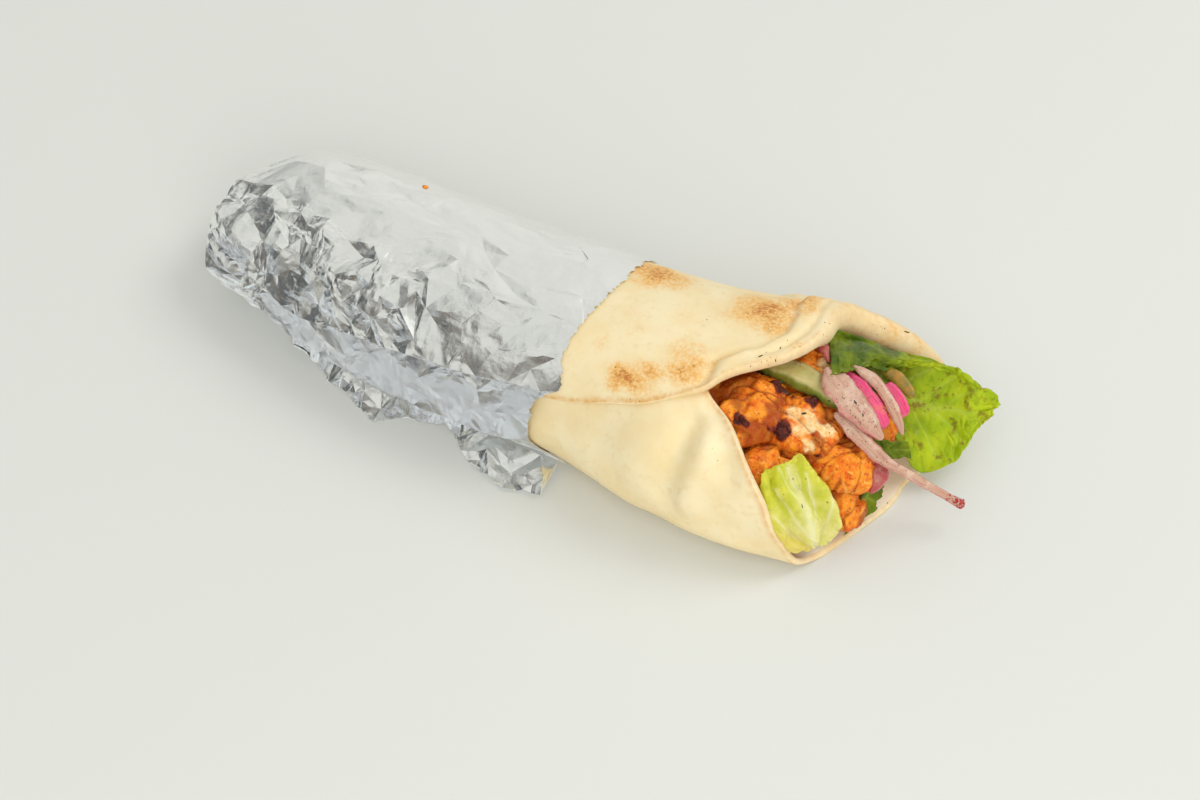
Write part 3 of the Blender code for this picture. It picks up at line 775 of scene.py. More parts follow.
# The angles at which the hem, and the dent along it, start, are full, begin to fade and end.
HEM_AT = (372, 392, 466, 480)
HEM_MARK_AT = (395, 410, 446, 456)
PRESSED = 1.3  # how much thinner the upper flap is along the seam
LIP = 7.0  # how much thicker the edge is where it is rolled in, behind the mouth
UNDER_SEAM = 34  # how far the front flap takes to come out from under the upper one
BREAD_STEP = 1.15  # the grid's step round the roll
STEEPEST = 2.5  # the most the mouth's edge is taken to slant
THINNING = (472, 486)  # the angles over which the upper flap thins towards the seam
RIM_TURNS = (20, 40, 60, 80, 100, 120, 140, 160)  # the steps by which the edge is rounded, in degrees

# Toast marks: x, angle, half sizes along x and round the roll, strength.
TOAST = (
    (10, 58, 11, 8, 0.75), (3, 62, 7, 5, 0.5), (19, 66, 6, 4, 0.5), (8, 72, 6, 3, 0.4),
    (53, 66, 9, 9, 0.95), (60, 50, 8, 7, 0.8), (48, 60, 7, 7, 0.6), (58, 76, 6, 5, 0.7), (66, 62, 5, 5, 0.5),
    (22, 122, 8.5, 4.2, 1.0), (28, 114, 6.5, 3.4, 0.6), (18, 128, 4.5, 3, 0.6),
    (39, 109, 6, 3.6, 0.75), (37, 99, 7, 5, 0.42), (42, 103, 3.5, 3, 0.55),
    (8, 112, 4, 8, 0.22), (16, 97, 9, 7, 0.16), (30, 84, 10, 8, 0.12),
    (40, 20, 12, 9, 0.8), (70, 5, 9, 7, 0.7), (88, 22, 8, 5, 0.6), (15, 0, 8, 6, 0.5), (55, -20, 9, 6, 0.4),
    (96, 45, 6, 4, 0.85), (103, 30, 5, 4, 0.7), (84, 62, 4, 3, 0.6), (76, 78, 2.5, 2, 0.9),
    (70, 86, 3, 2, 0.5),
)
# Soft hollows and rises in the front flap: (x, angle) points, height and half width.
DIMPLES = (
    (((49, 130), (47, 150), (45, 172)), -3.4, 4.5),
    (((57, 128), (56, 150), (54, 170)), 2.2, 4.5),
    (((54, 118), (59, 132), (66, 148)), -2.6, 3.6),
    (((62, 120), (70, 135), (76, 150)), 1.0, 5),
    (((38, 125), (34, 150), (32, 172)), 0.9, 7),
    (((20, 165), (30, 178), (42, 192)), -1.1, 8),
    (((62, 165), (72, 176), (82, 186)), -0.9, 6),
    (((15, 100), (35, 92), (55, 95)), 0.6, 10),
    (((28, 72), (44, 78), (60, 84)), -0.5, 7),
)


def bread_look():
    """Pale bread, browned where its toast value is high, with a few dark dots there."""
    look = Look("bread", 0.72, (0.12, (1.0, 0.55, 0.25), 0.003), Specular_IOR_Level=0.3)
    pale = look.mix(look.patches(16, 0.35, 0.68), (0.92, 0.785, 0.505), (0.885, 0.715, 0.405))
    pale = look.mix(look.patches(3.2, 0.5, 0.75, detail=4, rough=0.6), pale, (0.86, 0.69, 0.39))
    toast = look.times(look.value("toast"), look.patches(1.2, 0.3, 0.7, 0.5, 1.45, detail=4, rough=0.7))
    golden = look.mix(look.spread(toast, 0.02, 0.6), pale, (0.86, 0.50, 0.16))
    brown = look.mix(look.spread(toast, 0.45, 1.1), golden, (0.55, 0.20, 0.045))
    dark = look.times(look.dots(1.15, 0.30, 0.16, 1.6, 0.52, 0.6), look.spread(toast, 0.3, 0.75))
    colour = look.mix(dark, brown, (0.16, 0.06, 0.02))
    colour = look.mix(look.value("inside"), colour, (0.96, 0.88, 0.69))
    edge = look.times(look.value("rim"), look.patches(2.4, 0.3, 0.65, 0.35, 1.0))
    colour = look.mix(edge, colour, (0.75, 0.42, 0.14))
    fine = look.bump(look.noise(0.45, 3, 0.6), 0.10, 0.35)
    normal = look.bump(look.noise(2.6, 3, 0.5), 0.35, 0.35, fine)
    return look.done(colour, look.spread(toast, 0.2, 1.0, 0.72, 0.6), normal)


def bread_relief(x, angle, around, distance):
    """How far the sheet stands above its even depth, at this distance from its edge."""
    place = roll_point(x, angle, 0, 0)
    height = 0.45 * cloud(place, 24, 31, 2) + 0.12 * cloud(place, 7, 41, 2)
    crease = curve(HEM_CREASE, angle)
    hem = step(*HEM_AT[:2], angle) * (1 - step(*HEM_AT[2:], angle))
    ragged = crease + 0.7 * cloud(place, 5, 55, 2)
    band = 1 - step(ragged - 1.6, ragged + 0.3, distance)
    mark = bell(distance - 0.45 * crease - 0.8 * soft_noise(place, 7, 56), 0.9)
    mark = mark * step(*HEM_MARK_AT[:2], angle) * (1 - step(*HEM_MARK_AT[2:], angle))
    height += hem * (HEM_RISE * band * (0.8 + 0.2 * soft_noise(place, 9, 51)) - 1.3 * mark)
    height -= 0.9 * hem * bell(distance - ragged - 0.9, 1.2)
    height += 0.35 * hem * band * cloud(place, 3.5, 57, 2)
    for points, rise, width in DIMPLES:
        far, _ = line_distance(x, around, roll_line(points))
        height += np.where(angle < 250, rise * bell(far, width), 0)
    return height


def bread_marks(x, rounds, angles, distance, outer):
    """How toasted each place of the sheet's outer side is, how much of that is the rolled lip's own mark, and
    how brown its rim is."""
    toast = np.zeros(x.shape)
    wobble, bend = cloud(outer, 6, 91, 3, 0.6), cloud(outer, 13, 95, 2)
    for (tx, ta, size_x, size_round, strength), turn in itertools.product(TOAST, (0, 360)):
        far = np.hypot((x - tx) / size_x, (rounds - round_at(ta + turn)) / size_round) * (1 + 0.45 * bend)
        toast = np.maximum(toast, strength * bell(far))
    toast *= 1 + 0.5 * wobble
    crease = bell(distance - curve(HEM_CREASE, angles), 0.9)
    crease *= step(385, 400, angles) * (1 - step(462, 474, angles)) * (0.45 + 0.35 * wobble)
    lip = bell(distance - 1.4, 2.8) * step(370, 378, angles) * (1 - step(404, 418, angles))
    lip *= np.clip(0.07 + 2.6 * cloud(outer, 3.6, 97, 3, 0.6), 0, 0.9)
    rim = bell(distance - 0.8, 1.3) * (0.5 + 0.5 * step(455, 485, angles) + 0.2 * (angles < 240))
    return np.maximum(np.maximum(toast, crease * 0.8), lip), lip, rim


def flatbread(look):
    """The rolled sheet, once round and on to its seam: its outer side, its rounded rim and its inner side."""
    around = np.arange(round_at(BREAD_EDGE[0][0]), round_at(BREAD_EDGE[-1][0]), BREAD_STEP)
    angle = angle_at(around)
    edge = curve(BREAD_EDGE, angle) + 0.5 * soft_noise(beside(around), 8, 71)
    along = np.concatenate([np.linspace(0, 0.5, 22)[:-1], np.linspace(0.5, 1, 128)])
    slope = np.minimum(np.abs(np.gradient(edge) / np.gradient(around)), STEEPEST)
    slant = np.sqrt(1 + slope**2)
    rolled = LIP * step(358, 374, angle) * (1 - step(422, 444, angle))
    thick = BREAD - PRESSED * (step(*THINNING, angle) + step(215, 180, angle) * 0.7) + 0.8 * rolled
    round_in = 0.5 * thick * slant
    x = BREAD_TAIL + along[:, None] * (edge - round_in - BREAD_TAIL)
    angles, rounds = np.broadcast_to(angle, x.shape), np.broadcast_to(around, x.shape)

    def surface(x, below, share=0.0):
        """The sheet's outer side moved towards its inner one by a share, and up from the floor by below."""
        distance = (edge - x) / slant
        seam = curve(SEAM, x)
        under = (BREAD + GAP) * (1 - step(seam + 3, seam + UNDER_SEAM, angles[: len(x)]))
        pressed = PRESSED * step(*THINNING, angle) * bell(distance, 6)
        hidden = 2.6 * step(-8, -22, x)
        rise = bread_relief(x, angles[: len(x)], rounds[: len(x)], distance) * step(-20, -4, x)
        outer = under + pressed - rise
        inner = under + BREAD - 0.4 * rise * (angle < 380) + rolled * (1 - step(5, 17, distance))
        depth = outer + share * (inner - outer) + hidden
        lifted = (FOIL + FOIL_CLEAR) * (1 - step(8, 32, x)) + below
        return roll_point(x, angles[: len(x)], depth, lifted)

    outer = surface(x, 0.0)
    rim = []
    for turn in np.radians(RIM_TURNS):
        share = (1 - math.cos(turn)) / 2
        rim.append(surface((edge - round_in * (1 - math.sin(turn)))[None], BREAD * share, share)[0])
    rings = np.concatenate([outer, np.array(rim), surface(x, BREAD, 1.0)[::-1]])
    rows, columns = rings.shape[:2]
    toast, lip_mark, rim_mark = bread_marks(x, rounds, angles, (edge - x) / slant, outer)
    toast = np.concatenate([toast, np.tile(lip_mark[-1], (len(rim), 1)), lip_mark[::-1]])
    rims = np.concatenate([rim_mark, np.full((len(rim), columns), 0.35), np.zeros(x.shape)])
    inside = np.zeros((rows, columns))
    inside[len(x) + len(rim):] = 0.8 * (1 - np.minimum(1.6 * lip_mark[::-1], 1))
    faces = grid_faces(rows, columns)
    last = (rows - 1) * columns
    faces += [[j, last + j, last + j + 1, j + 1] for j in range(columns - 1)]
    for j, flip in ((0, 1), (columns - 1, -1)):
        side = [i * columns + j for i in range(rows)]
        for i in range(rows // 2 - 1):
            faces.append([side[i], side[i + 1], side[rows - 2 - i], side[rows - 1 - i]][::flip])
    return piece("flatbread_baked", rings.reshape(-1, 3), faces, look, ["flatbread"],
                 {"toast": toast, "rim": rims, "inside": inside})


# ---------------------------------------------------------------- chicken

# Centre, half sizes, turn about Z in degrees and seed of each chunk, much as the CAD has them, and the way
# its fibres run.
CHUNKS = {
    "top": ((61.5, -13.5, 36.5), (13.5, 15.5, 11.5), 20, 1, (0.3, -0.5, -0.8)),
    "middle": ((79.5, -9.0, 30.5), (17.0, 13.5, 12.5), -15, 2, (0.8, -0.3, -0.3)),
    "right": ((94.0, -11.0, 23.0), (12.5, 12.0, 9.5), 10, 3, (0.6, 0.5, -0.5)),
    "low": ((93.5, -18.5, 14.5), (10.0, 9.0, 8.0), 0, 4, (0.9, -0.3, 0.0)),
    "end": ((99.5, -16.5, 8.5), (7.5, 8.0, 5.3), 15, 5, (0.4, 0.8, 0.3)),
    "front": ((73.0, -28.0, 25.5), (11.5, 11.5, 12.0), 0, 6, (0.5, 0.2, -0.8)),
    "back": ((74.0, 13.0, 34.0), (14.0, 12.0, 10.5), 30, 7, (0.9, 0.3, 0.0)),
    "inner": ((91.0, 13.0, 19.0), (15.0, 14.0, 12.0), -20, 8, (0.3, 0.9, 0.0)),
    "far": ((89.0, 32.0, 15.0), (14.0, 12.0, 10.5), 10, 9, (0.8, 0.5, 0.0)),
}
CHUNK_LUMP = 0.156  # how lumpy a chunk is, as a share of its size
CHUNK_DEPTH = 5.9  # how deep under the roll's surface it stays
CHUNK_OVERLAP = 0.8  # how far past half way to its neighbours it goes
CHUNK_SHRINK = 0.97  # each step by which points outside the roll are drawn in, and the most steps there are
CHUNK_STEPS = 60
# Charred spots and pale torn places on the chicken: centre and radius.
CHAR = (
    ((79.0, -3.5, 42.6), 2.9), ((75.6, -17.9, 40.4), 3.7), ((72.8, -4.0, 44.0), 2.2),
    ((67.9, -6.0, 45.1), 1.8), ((62.6, -23.5, 43.5), 1.8), ((89.6, -19.0, 34.5), 2.4),
    ((91.0, -25.0, 17.5), 1.6), ((70.5, -20.5, 40.5), 1.8), ((66.0, 8.0, 45.0), 2.2),
)
PALE = (
    ((80.8, -16.0, 42.4), 4.6), ((84.4, -11.7, 42.3), 5.2), ((88.3, -12.0, 39.4), 4.8),
    ((85.4, -19.6, 38.3), 3.4), ((77.7, -12.8, 42.7), 3.4), ((80.0, 12.0, 43.0), 4.0),
    ((97.0, -22.0, 16.0), 2.5), ((66.5, -33.0, 31.0), 3.0),
)


def inside_roll(points, depth):
    """1 on the roll's section at this depth, and less inside it."""
    x, y, z = points.T
    middle, half, height, _, share = section_at(x)
    waist = height * np.where(y < middle, share, BACK_WAIST)
    upper = z >= waist
    power = np.where(upper, TOP_POWER, BASE_POWER)
    reach = np.where(upper, height - waist, waist + SAG) - depth
    return (np.abs(y - middle) / (half - depth)) ** power + (np.abs(z - waist) / reach) ** power


def ball(fineness):
    """Directions and faces of a round mesh."""
    sculpt = bmesh.new()
    bmesh.ops.create_icosphere(sculpt, subdivisions=fineness, radius=1)
    ways = np.array([v.co[:] for v in sculpt.verts])
    faces = [[v.index for v in f.verts] for f in sculpt.faces]
    sculpt.free()
    return ways, faces


def marks_at(points, marks, wobble):
    """How strongly each point lies in one of these round marks, from 0 to 1."""
    strength = np.zeros(len(points))
    for centre, radius in marks:
        far = np.linalg.norm(points - centre, axis=-1) / radius + 0.35 * wobble
        strength = np.maximum(strength, 1 - step(0.55, 1.3, far))
    return strength


def meat_relief(points, grain, seed):
    """Height of the meat's lumps, fibres and grains, how much painted shade each point gets for lying in a
    cleft or hollow, and its fibres.
    """
    along = unit(np.array(grain, float))
    side = unit(np.cross(along, (0.2, 0.5, 0.8)))
    third = np.cross(along, side)
    local = np.stack([points @ along, points @ side, points @ third], axis=-1)
    bend = 1.3 * np.stack([cloud(points, 7, seed + k, 2) for k in (1, 2, 3)], axis=-1)

    def ridges(stretch, bent, size, own):
        """Noise without its sign, drawn out along the grain: 0 on its creases."""
        return np.abs(soft_noise(local / (stretch, 1, 1) + bent * bend, size, seed + own))

    lumps = cloud(points + bend, 8.0, seed + 10, 2)
    splits = np.abs(cloud(local / (3.2, 1, 1) + bend, 7.5, seed + 20, 2))
    clefts = np.clip(1 - splits * 9, 0, 1) * step(-0.1, 0.25, soft_noise(points, 11, seed + 25))
    bundles, fibres = 1 - 2 * ridges(4.5, 0.6, 2.4, 30), 1 - 2 * ridges(6.0, 0.5, 1.1, 35)
    knobs, grains = ridges(1.5, 1.0, 5.2, 50), cloud(points, 1.0, seed + 40, 2)
    height = 1.4 * lumps + 2.4 * np.minimum(knobs, 0.4) - 1.6 * clefts**1.3
    height = height + 0.55 * bundles + 0.3 * fibres + 0.3 * grains
    # Painted shade: darker in the creases between knobs and where the lumps are low.
    dents = np.maximum(0.9 * step(0.10, 0.0, knobs), 0.75 * step(0.0, -0.32, lumps))
    return height - 0.7, np.maximum(clefts, dents), fibres


def meat_look():
    look = Look("chicken", 0.5, (0.04, (1.0, 0.35, 0.12), 0.002), Specular_IOR_Level=0.27)
    blotch = look.patches(4.0, 0.38, 0.64, detail=4, rough=0.65, distortion=0.4)
    orange = look.mix(blotch, (0.96, 0.33, 0.022), (0.82, 0.15, 0.007))
    light = look.times(look.patches(1.9, 0.52, 0.70, detail=4, rough=0.65), 0.7)
    orange = look.mix(light, orange, (0.97, 0.52, 0.11))
    rust = look.times(look.patches(2.6, 0.52, 0.66, detail=5, rough=0.7), 0.75)
    orange = look.mix(rust, orange, (0.44, 0.05, 0.005))
    # Painted shade, dark red-brown, in the meat's clefts and hollows, where chunks meet, and over the
    # filling's core.
    colour = look.mix(look.times(look.value("cleft"), 0.85), orange, (0.24, 0.028, 0.005))
    pale = look.patches(1.6, 0.40, 0.62, detail=4, rough=0.6)
    flesh = look.mix(pale, (0.95, 0.72, 0.38), (0.94, 0.50, 0.15))
    colour = look.mix(look.spread(look.value("pale"), 0.12, 0.85), colour, flesh)
    spice = look.dots(0.9, 0.30, 0.16, 1.8, 0.46, 0.54)
    colour = look.mix(look.times(spice, 0.4), colour, (0.24, 0.03, 0.006))
    # The char has a ragged edge, a dark red halo and a crust of two colours.
    char = look.value("char")
    ragged = look.patches(0.9, 0.3, 0.6, -0.25, 0.3, detail=4, rough=0.7)
    ragged = look.times(ragged, look.spread(char, 0.0, 0.3))
    burnt = look.spread(look.sums("ADD", char, ragged), 0.45, 0.85)
    colour = look.mix(look.spread(char, 0.02, 0.45, 0.0, 0.85), colour, (0.30, 0.032, 0.010))
    crust = look.patches(0.8, 0.4, 0.62, rough=0.7)
    colour = look.mix(burnt, colour, look.mix(crust, (0.030, 0.010, 0.009), (0.17, 0.025, 0.012)))
    normal = look.bump(look.noise(0.5, 3, 0.65), 0.25, 0.6)
    return look.done(colour, look.patches(1.8, 0.35, 0.7, 0.34, 0.62, detail=2), normal)


def chicken_chunk(name, look):
    """A lump of meat that stops half way to its neighbours and inside the bread."""
    centre, radii, turn, seed, grain = CHUNKS[name]
    ways, faces = ball(6)
    middle = np.array(centre, float)
    c, s = math.cos(math.radians(turn)), math.sin(math.radians(turn))
    offsets = ways * radii * (1 + CHUNK_LUMP * cloud(ways + seed * 7.1, 0.9, seed, 2))[:, None]
    offsets = offsets @ np.array([(c, s, 0), (-s, c, 0), (0, 0, 1)])
    reach, touching = np.ones(len(ways)), np.zeros(len(ways))
    # Each point is held back from the neighbours, and gets painted shade where it comes near one.
    for place, sizes, *_ in [chunk for other, chunk in CHUNKS.items() if other != name]:
        between = np.array(place) - middle
        span = np.linalg.norm(between)
        along = offsets @ between / span
        limit = np.mean(radii) / (np.mean(radii) + np.mean(sizes)) * span + CHUNK_OVERLAP
        reach = np.where(along > limit, np.minimum(reach, limit / np.maximum(along, 1e-6)), reach)
        touching = np.maximum(touching, step(0.80, 1.0, along / limit))
    for _ in range(CHUNK_STEPS):
        outside = inside_roll(middle + offsets * reach[:, None], CHUNK_DEPTH) > 1
        if not outside.any():
            break
        reach = np.where(outside, reach * CHUNK_SHRINK, reach)
    points = middle + offsets * reach[:, None]
    height, clefts, fibres = meat_relief(points, grain, seed * 50)
    wobble = cloud(points, 3, 400, 2)
    char, pale = marks_at(points, CHAR, 3.6 * wobble), marks_at(points, PALE, 2.2 * wobble)
    crust = 0.9 * char * (0.3 + np.abs(soft_noise(points, 1.5, 410)) * 1.4)
    height = height + crust - 0.9 * pale + 0.35 * pale * fibres
    points = points + ways * height[:, None]
    # The darkening kept here is painted shade in clefts, hollows and near neighbours.
    values = {"cleft": np.maximum(clefts, 0.7 * touching), "char": char, "pale": pale * (0.7 + 0.5 * fibres)}
    name = "chicken_chunk_" + name
    return piece(name + "_grilled", points, faces, look, [name], values)


def chicken_filling(look):
    """The chicken that runs through the roll, with a rough end."""
    angles = angle_at(np.linspace(round_at(0), round_at(360), 161)[:-1])
    xs = np.concatenate([[CORE_TAIL + 2], np.linspace(CORE_TAIL + 12, FACE_START[0] - 8, 9)])
    base = FOIL + FOIL_CLEAR + BREAD + 2 * GAP
    rings = [roll_point(x, angles, CORE_DEPTH, base) for x in xs]
    rings[0] = rings[0].mean(axis=0) + 0.8 * (rings[0] - rings[0].mean(axis=0))
    face = roll_point(FACE_START[0], angles, CORE_DEPTH, base)
    face[:, 0] = FACE_START[0] + (FACE_START[1] - face[:, 2]) / FACE_FALL
    centre = face.mean(axis=0)
    for r in np.linspace(1, 0, 30)[:-1]:
        ring = centre + r * (face - centre)
        ring[:, 0] += 1.5 * cloud(ring, 7, 500, 3) * min(1, 6 * (1 - r)) - 1.0
        rings.append(ring)
    points = np.concatenate(rings)
    faces = closed_tube(len(rings), len(angles))
    none = np.zeros(len(points))
    # The core is darkened all over with painted shade, as it shows only in the gaps between chunks.
    values = {"cleft": 0.6 + 0.4 * cloud(points, 5, 510, 2), "char": none, "pale": none}
    return piece("chicken_filling_rough", points, faces, look, ["chicken_filling"], values)


# ---------------------------------------------------------------- salad

# Long pieces, much as the CAD has them: the points of the middle line as (x, y, z, half width), the
# thickness and the way the flat side faces. Then how square the section is, how far it bows up in the middle,
# and whether the ends narrow (1) or are cut off (0).
STRIPS = {
    "pickle_spear": (
        ((57, 5, 41.5, 4.0), (67, 4.5, 43, 4.6), (80, 3.5, 41.5, 4.6), (93, 1.5, 36.5, 3.4)),
        6.0, UPWARDS, 0.62, 0.5, 0.5,
    ),
    "onion_wedge": (
        ((80.5, 7.5, 46.8, 2.8), (86, 3.2, 46.8, 5.0), (92.5, -0.2, 44.8, 5.6), (99.8, -2.4, 40.5, 4.6),
         (106, -4.0, 35, 2.2)),
        1.5, UPWARDS, 0.8, 1.2, 0.7,
    ),
    "onion_long_strip": (
        ((89, -5, 41, 1.6), (96, -6.9, 38.6, 2.6), (102.5, -8.2, 34.4, 2.8), (109, -7.8, 29.3, 2.1),
         (117, -5.2, 23.5, 1.65), (126, -2, 16.5, 1.5), (132, -0.3, 12.5, 1.7), (136, 0, 11, 2.3)),
        1.4, TOWARDS_MOUTH, 0.8, 0.6, 0.3,
    ),
    "onion_curved_strip": (
        ((88, 13.5, 45.5, 1.3), (96, 11.5, 44.6, 2.0), (103, 8.0, 41.5, 2.0), (108, 5.5, 36, 1.8),
         (110.5, 4.0, 31, 1.2)),
        1.3, TOWARDS_MOUTH, 0.8, 0.4, 0.8,
    ),
    "onion_curl": (
        ((71, 23, 42.5, 1.2), (76, 17, 45.5, 1.8), (80, 11.5, 46.2, 1.2)),
        1.6, UPWARDS, 0.8, 0.3, 1.0,
    ),
    "onion_pink_bit": (
        ((103.5, -4.5, 27.5, 1.6), (108, -9.5, 24.5, 3.0), (107.5, -15.5, 20, 1.8)),
        2.4, TOWARDS_MOUTH, 0.8, 0.4, 1.0,
    ),
    "turnip_stick": (
        ((84, 12.0, 40.5, 3.2), (92, 8.5, 40, 3.8), (99, 5.0, 37, 3.8), (104, 2.0, 33, 3.2)),
        6.0, TOWARDS_MOUTH, 0.36, 0.0, 0.15,
    ),
    "turnip_end": (
        ((98, 17.5, 35.5, 3.0), (104, 13.5, 35, 3.4), (108.5, 10.5, 32.5, 3.0)),
        4.6, TOWARDS_MOUTH, 0.4, 0.0, 0.2,
    ),
    "pepper_strip": (
        ((94, 25, 36.5, 1.6), (102, 22.5, 36.3, 2.2), (108.5, 19, 33.8, 1.7)),
        1.8, TOWARDS_MOUTH, 0.6, 0.5, 0.5,
    ),
}
RED_ONION = ("onion_curl", "onion_pink_bit")  # the pieces with their dark red outer skin
STRIP_STEP = 0.36
STRIP_SIDES = 60
STRIP_RELIEF = {"onion": (0.03, 0.07), "turnip": (0.05, 0.14), "pickle": (0.06, 0.22), "pepper": (0.05, 0.2)}
STRIP_CLOSING = (0.9, 0.72, 0.45)  # sizes of the rings that round off each end

# Leaves, much as the CAD has them: two edges of points, the cup between them, how often the edge ripples and
# how far. Then the numbers of rows and columns of points, and the thickness.
LEAVES = {
    "large_leaf": (
        ((72, 30, 42), (84, 32, 40.5), (97, 35, 36.5), (109, 38.5, 34), (118, 39.5, 31), (126, 37.5, 28),
         (132.5, 40, 24), (134, 37, 22.5)),
        ((75, 22, 38), (87, 19, 32), (98, 15, 26), (107, 9.5, 19), (117.5, 8.5, 9), (126, 16, 10.5),
         (130, 27, 16.5), (134, 34, 21)),
        3.0, 15, 1.2, (190, 110), 0.7,
    ),
    "romaine_leaf": (
        ((72.5, -34.5, 37.5), (76.5, -39.5, 31), (81.5, -43, 22), (87.5, -42.5, 12), (94, -39.5, 7.5)),
        ((84.5, -23.5, 39.5), (90.5, -24, 32), (98, -25, 23), (101.5, -29, 13), (100, -34, 7)),
        -1.8, 10, 1.0, (120, 90), 0.8,
    ),
    "low_leaf": (
        ((104.5, -9, 18.5), (109.5, -4, 14)),
        ((101.5, -28, 5.5), (110, -9, 6)),
        1.5, 5, 0.5, (50, 60), 0.6,
    ),
    "dark_leaf_bit": (
        ((101, -1.5, 31.5), (108, 2, 29.5), (113, 6.5, 27)),
        ((107, -3.5, 25), (111, -1, 23), (115, 3, 21.5)),
        1.2, 5, 0.5, (50, 36), 0.6,
    ),
}
# The free edge of the part of the large leaf that is folded over, and that part's share of the sheet.
FOLDED_EDGE = (
    (82.5, 4, 49.3), (86, 6.5, 50), (88, 9.5, 48), (91.7, 17.7, 42.8), (92.7, 21.3, 40),
    (96.4, 22, 39.5), (100, 28.3, 36), (106.2, 32.4, 34.9), (112.2, 36.1, 33.4), (118, 39, 31.8),
    (126, 37.3, 28.6), (134, 37, 23),
)
FOLDED_SHARE = 0.3
# Veins as lines of (along, across) shares, each with its half width in millimetres.
VEINS = {
    "large_leaf": (
        (((0.0, 0.55), (0.25, 0.5), (0.5, 0.42), (0.72, 0.38), (0.93, 0.45)), 0.75),
        (((0.42, 0.45), (0.5, 0.2), (0.58, 0.05)), 0.4), (((0.55, 0.41), (0.62, 0.22), (0.70, 0.06)), 0.4),
        (((0.66, 0.39), (0.74, 0.22), (0.82, 0.08)), 0.35), (((0.30, 0.49), (0.36, 0.25), (0.42, 0.08)), 0.4),
        (((0.36, 0.47), (0.47, 0.68), (0.55, 0.92)), 0.45), (((0.5, 0.43), (0.61, 0.64), (0.70, 0.92)), 0.45),
        (((0.62, 0.4), (0.74, 0.6), (0.83, 0.9)), 0.4), (((0.74, 0.38), (0.86, 0.55), (0.94, 0.8)), 0.35),
        (((0.2, 0.51), (0.28, 0.72), (0.36, 0.94)), 0.4),
    ),
    "romaine_leaf": (
        (((1.0, 0.5), (0.75, 0.52), (0.45, 0.55), (0.12, 0.6)), 1.5),
        (((0.85, 0.5), (0.55, 0.36), (0.25, 0.28)), 0.5), (((0.8, 0.5), (0.5, 0.72), (0.2, 0.82)), 0.5),
        (((0.95, 0.45), (0.7, 0.2), (0.45, 0.1)), 0.45), (((0.95, 0.55), (0.7, 0.82), (0.5, 0.94)), 0.45),
        (((0.5, 0.55), (0.3, 0.45), (0.08, 0.42)), 0.4), (((0.45, 0.55), (0.3, 0.68), (0.1, 0.72)), 0.4),
    ),
    "low_leaf": (
        (((0.5, 0.0), (0.5, 1.0)), 0.4), (((0.5, 0.3), (0.1, 0.6)), 0.3), (((0.5, 0.4), (0.9, 0.7)), 0.3),
    ),
    "dark_leaf_bit": ((((0.0, 0.5), (1.0, 0.5)), 0.4), (((0.3, 0.5), (0.6, 0.1)), 0.3)),
}


def smooth_line(points, count):
    """Points at even steps along a smooth curve through the given ones, with their further columns."""
    columns = np.array(points, float)
    length = np.concatenate([[0], np.cumsum(np.linalg.norm(np.diff(columns[:, :3], axis=0), axis=1))])
    at = np.linspace(0, length[-1], count)
    return np.stack([smooth_columns(length, column, at) for column in columns.T], axis=-1)


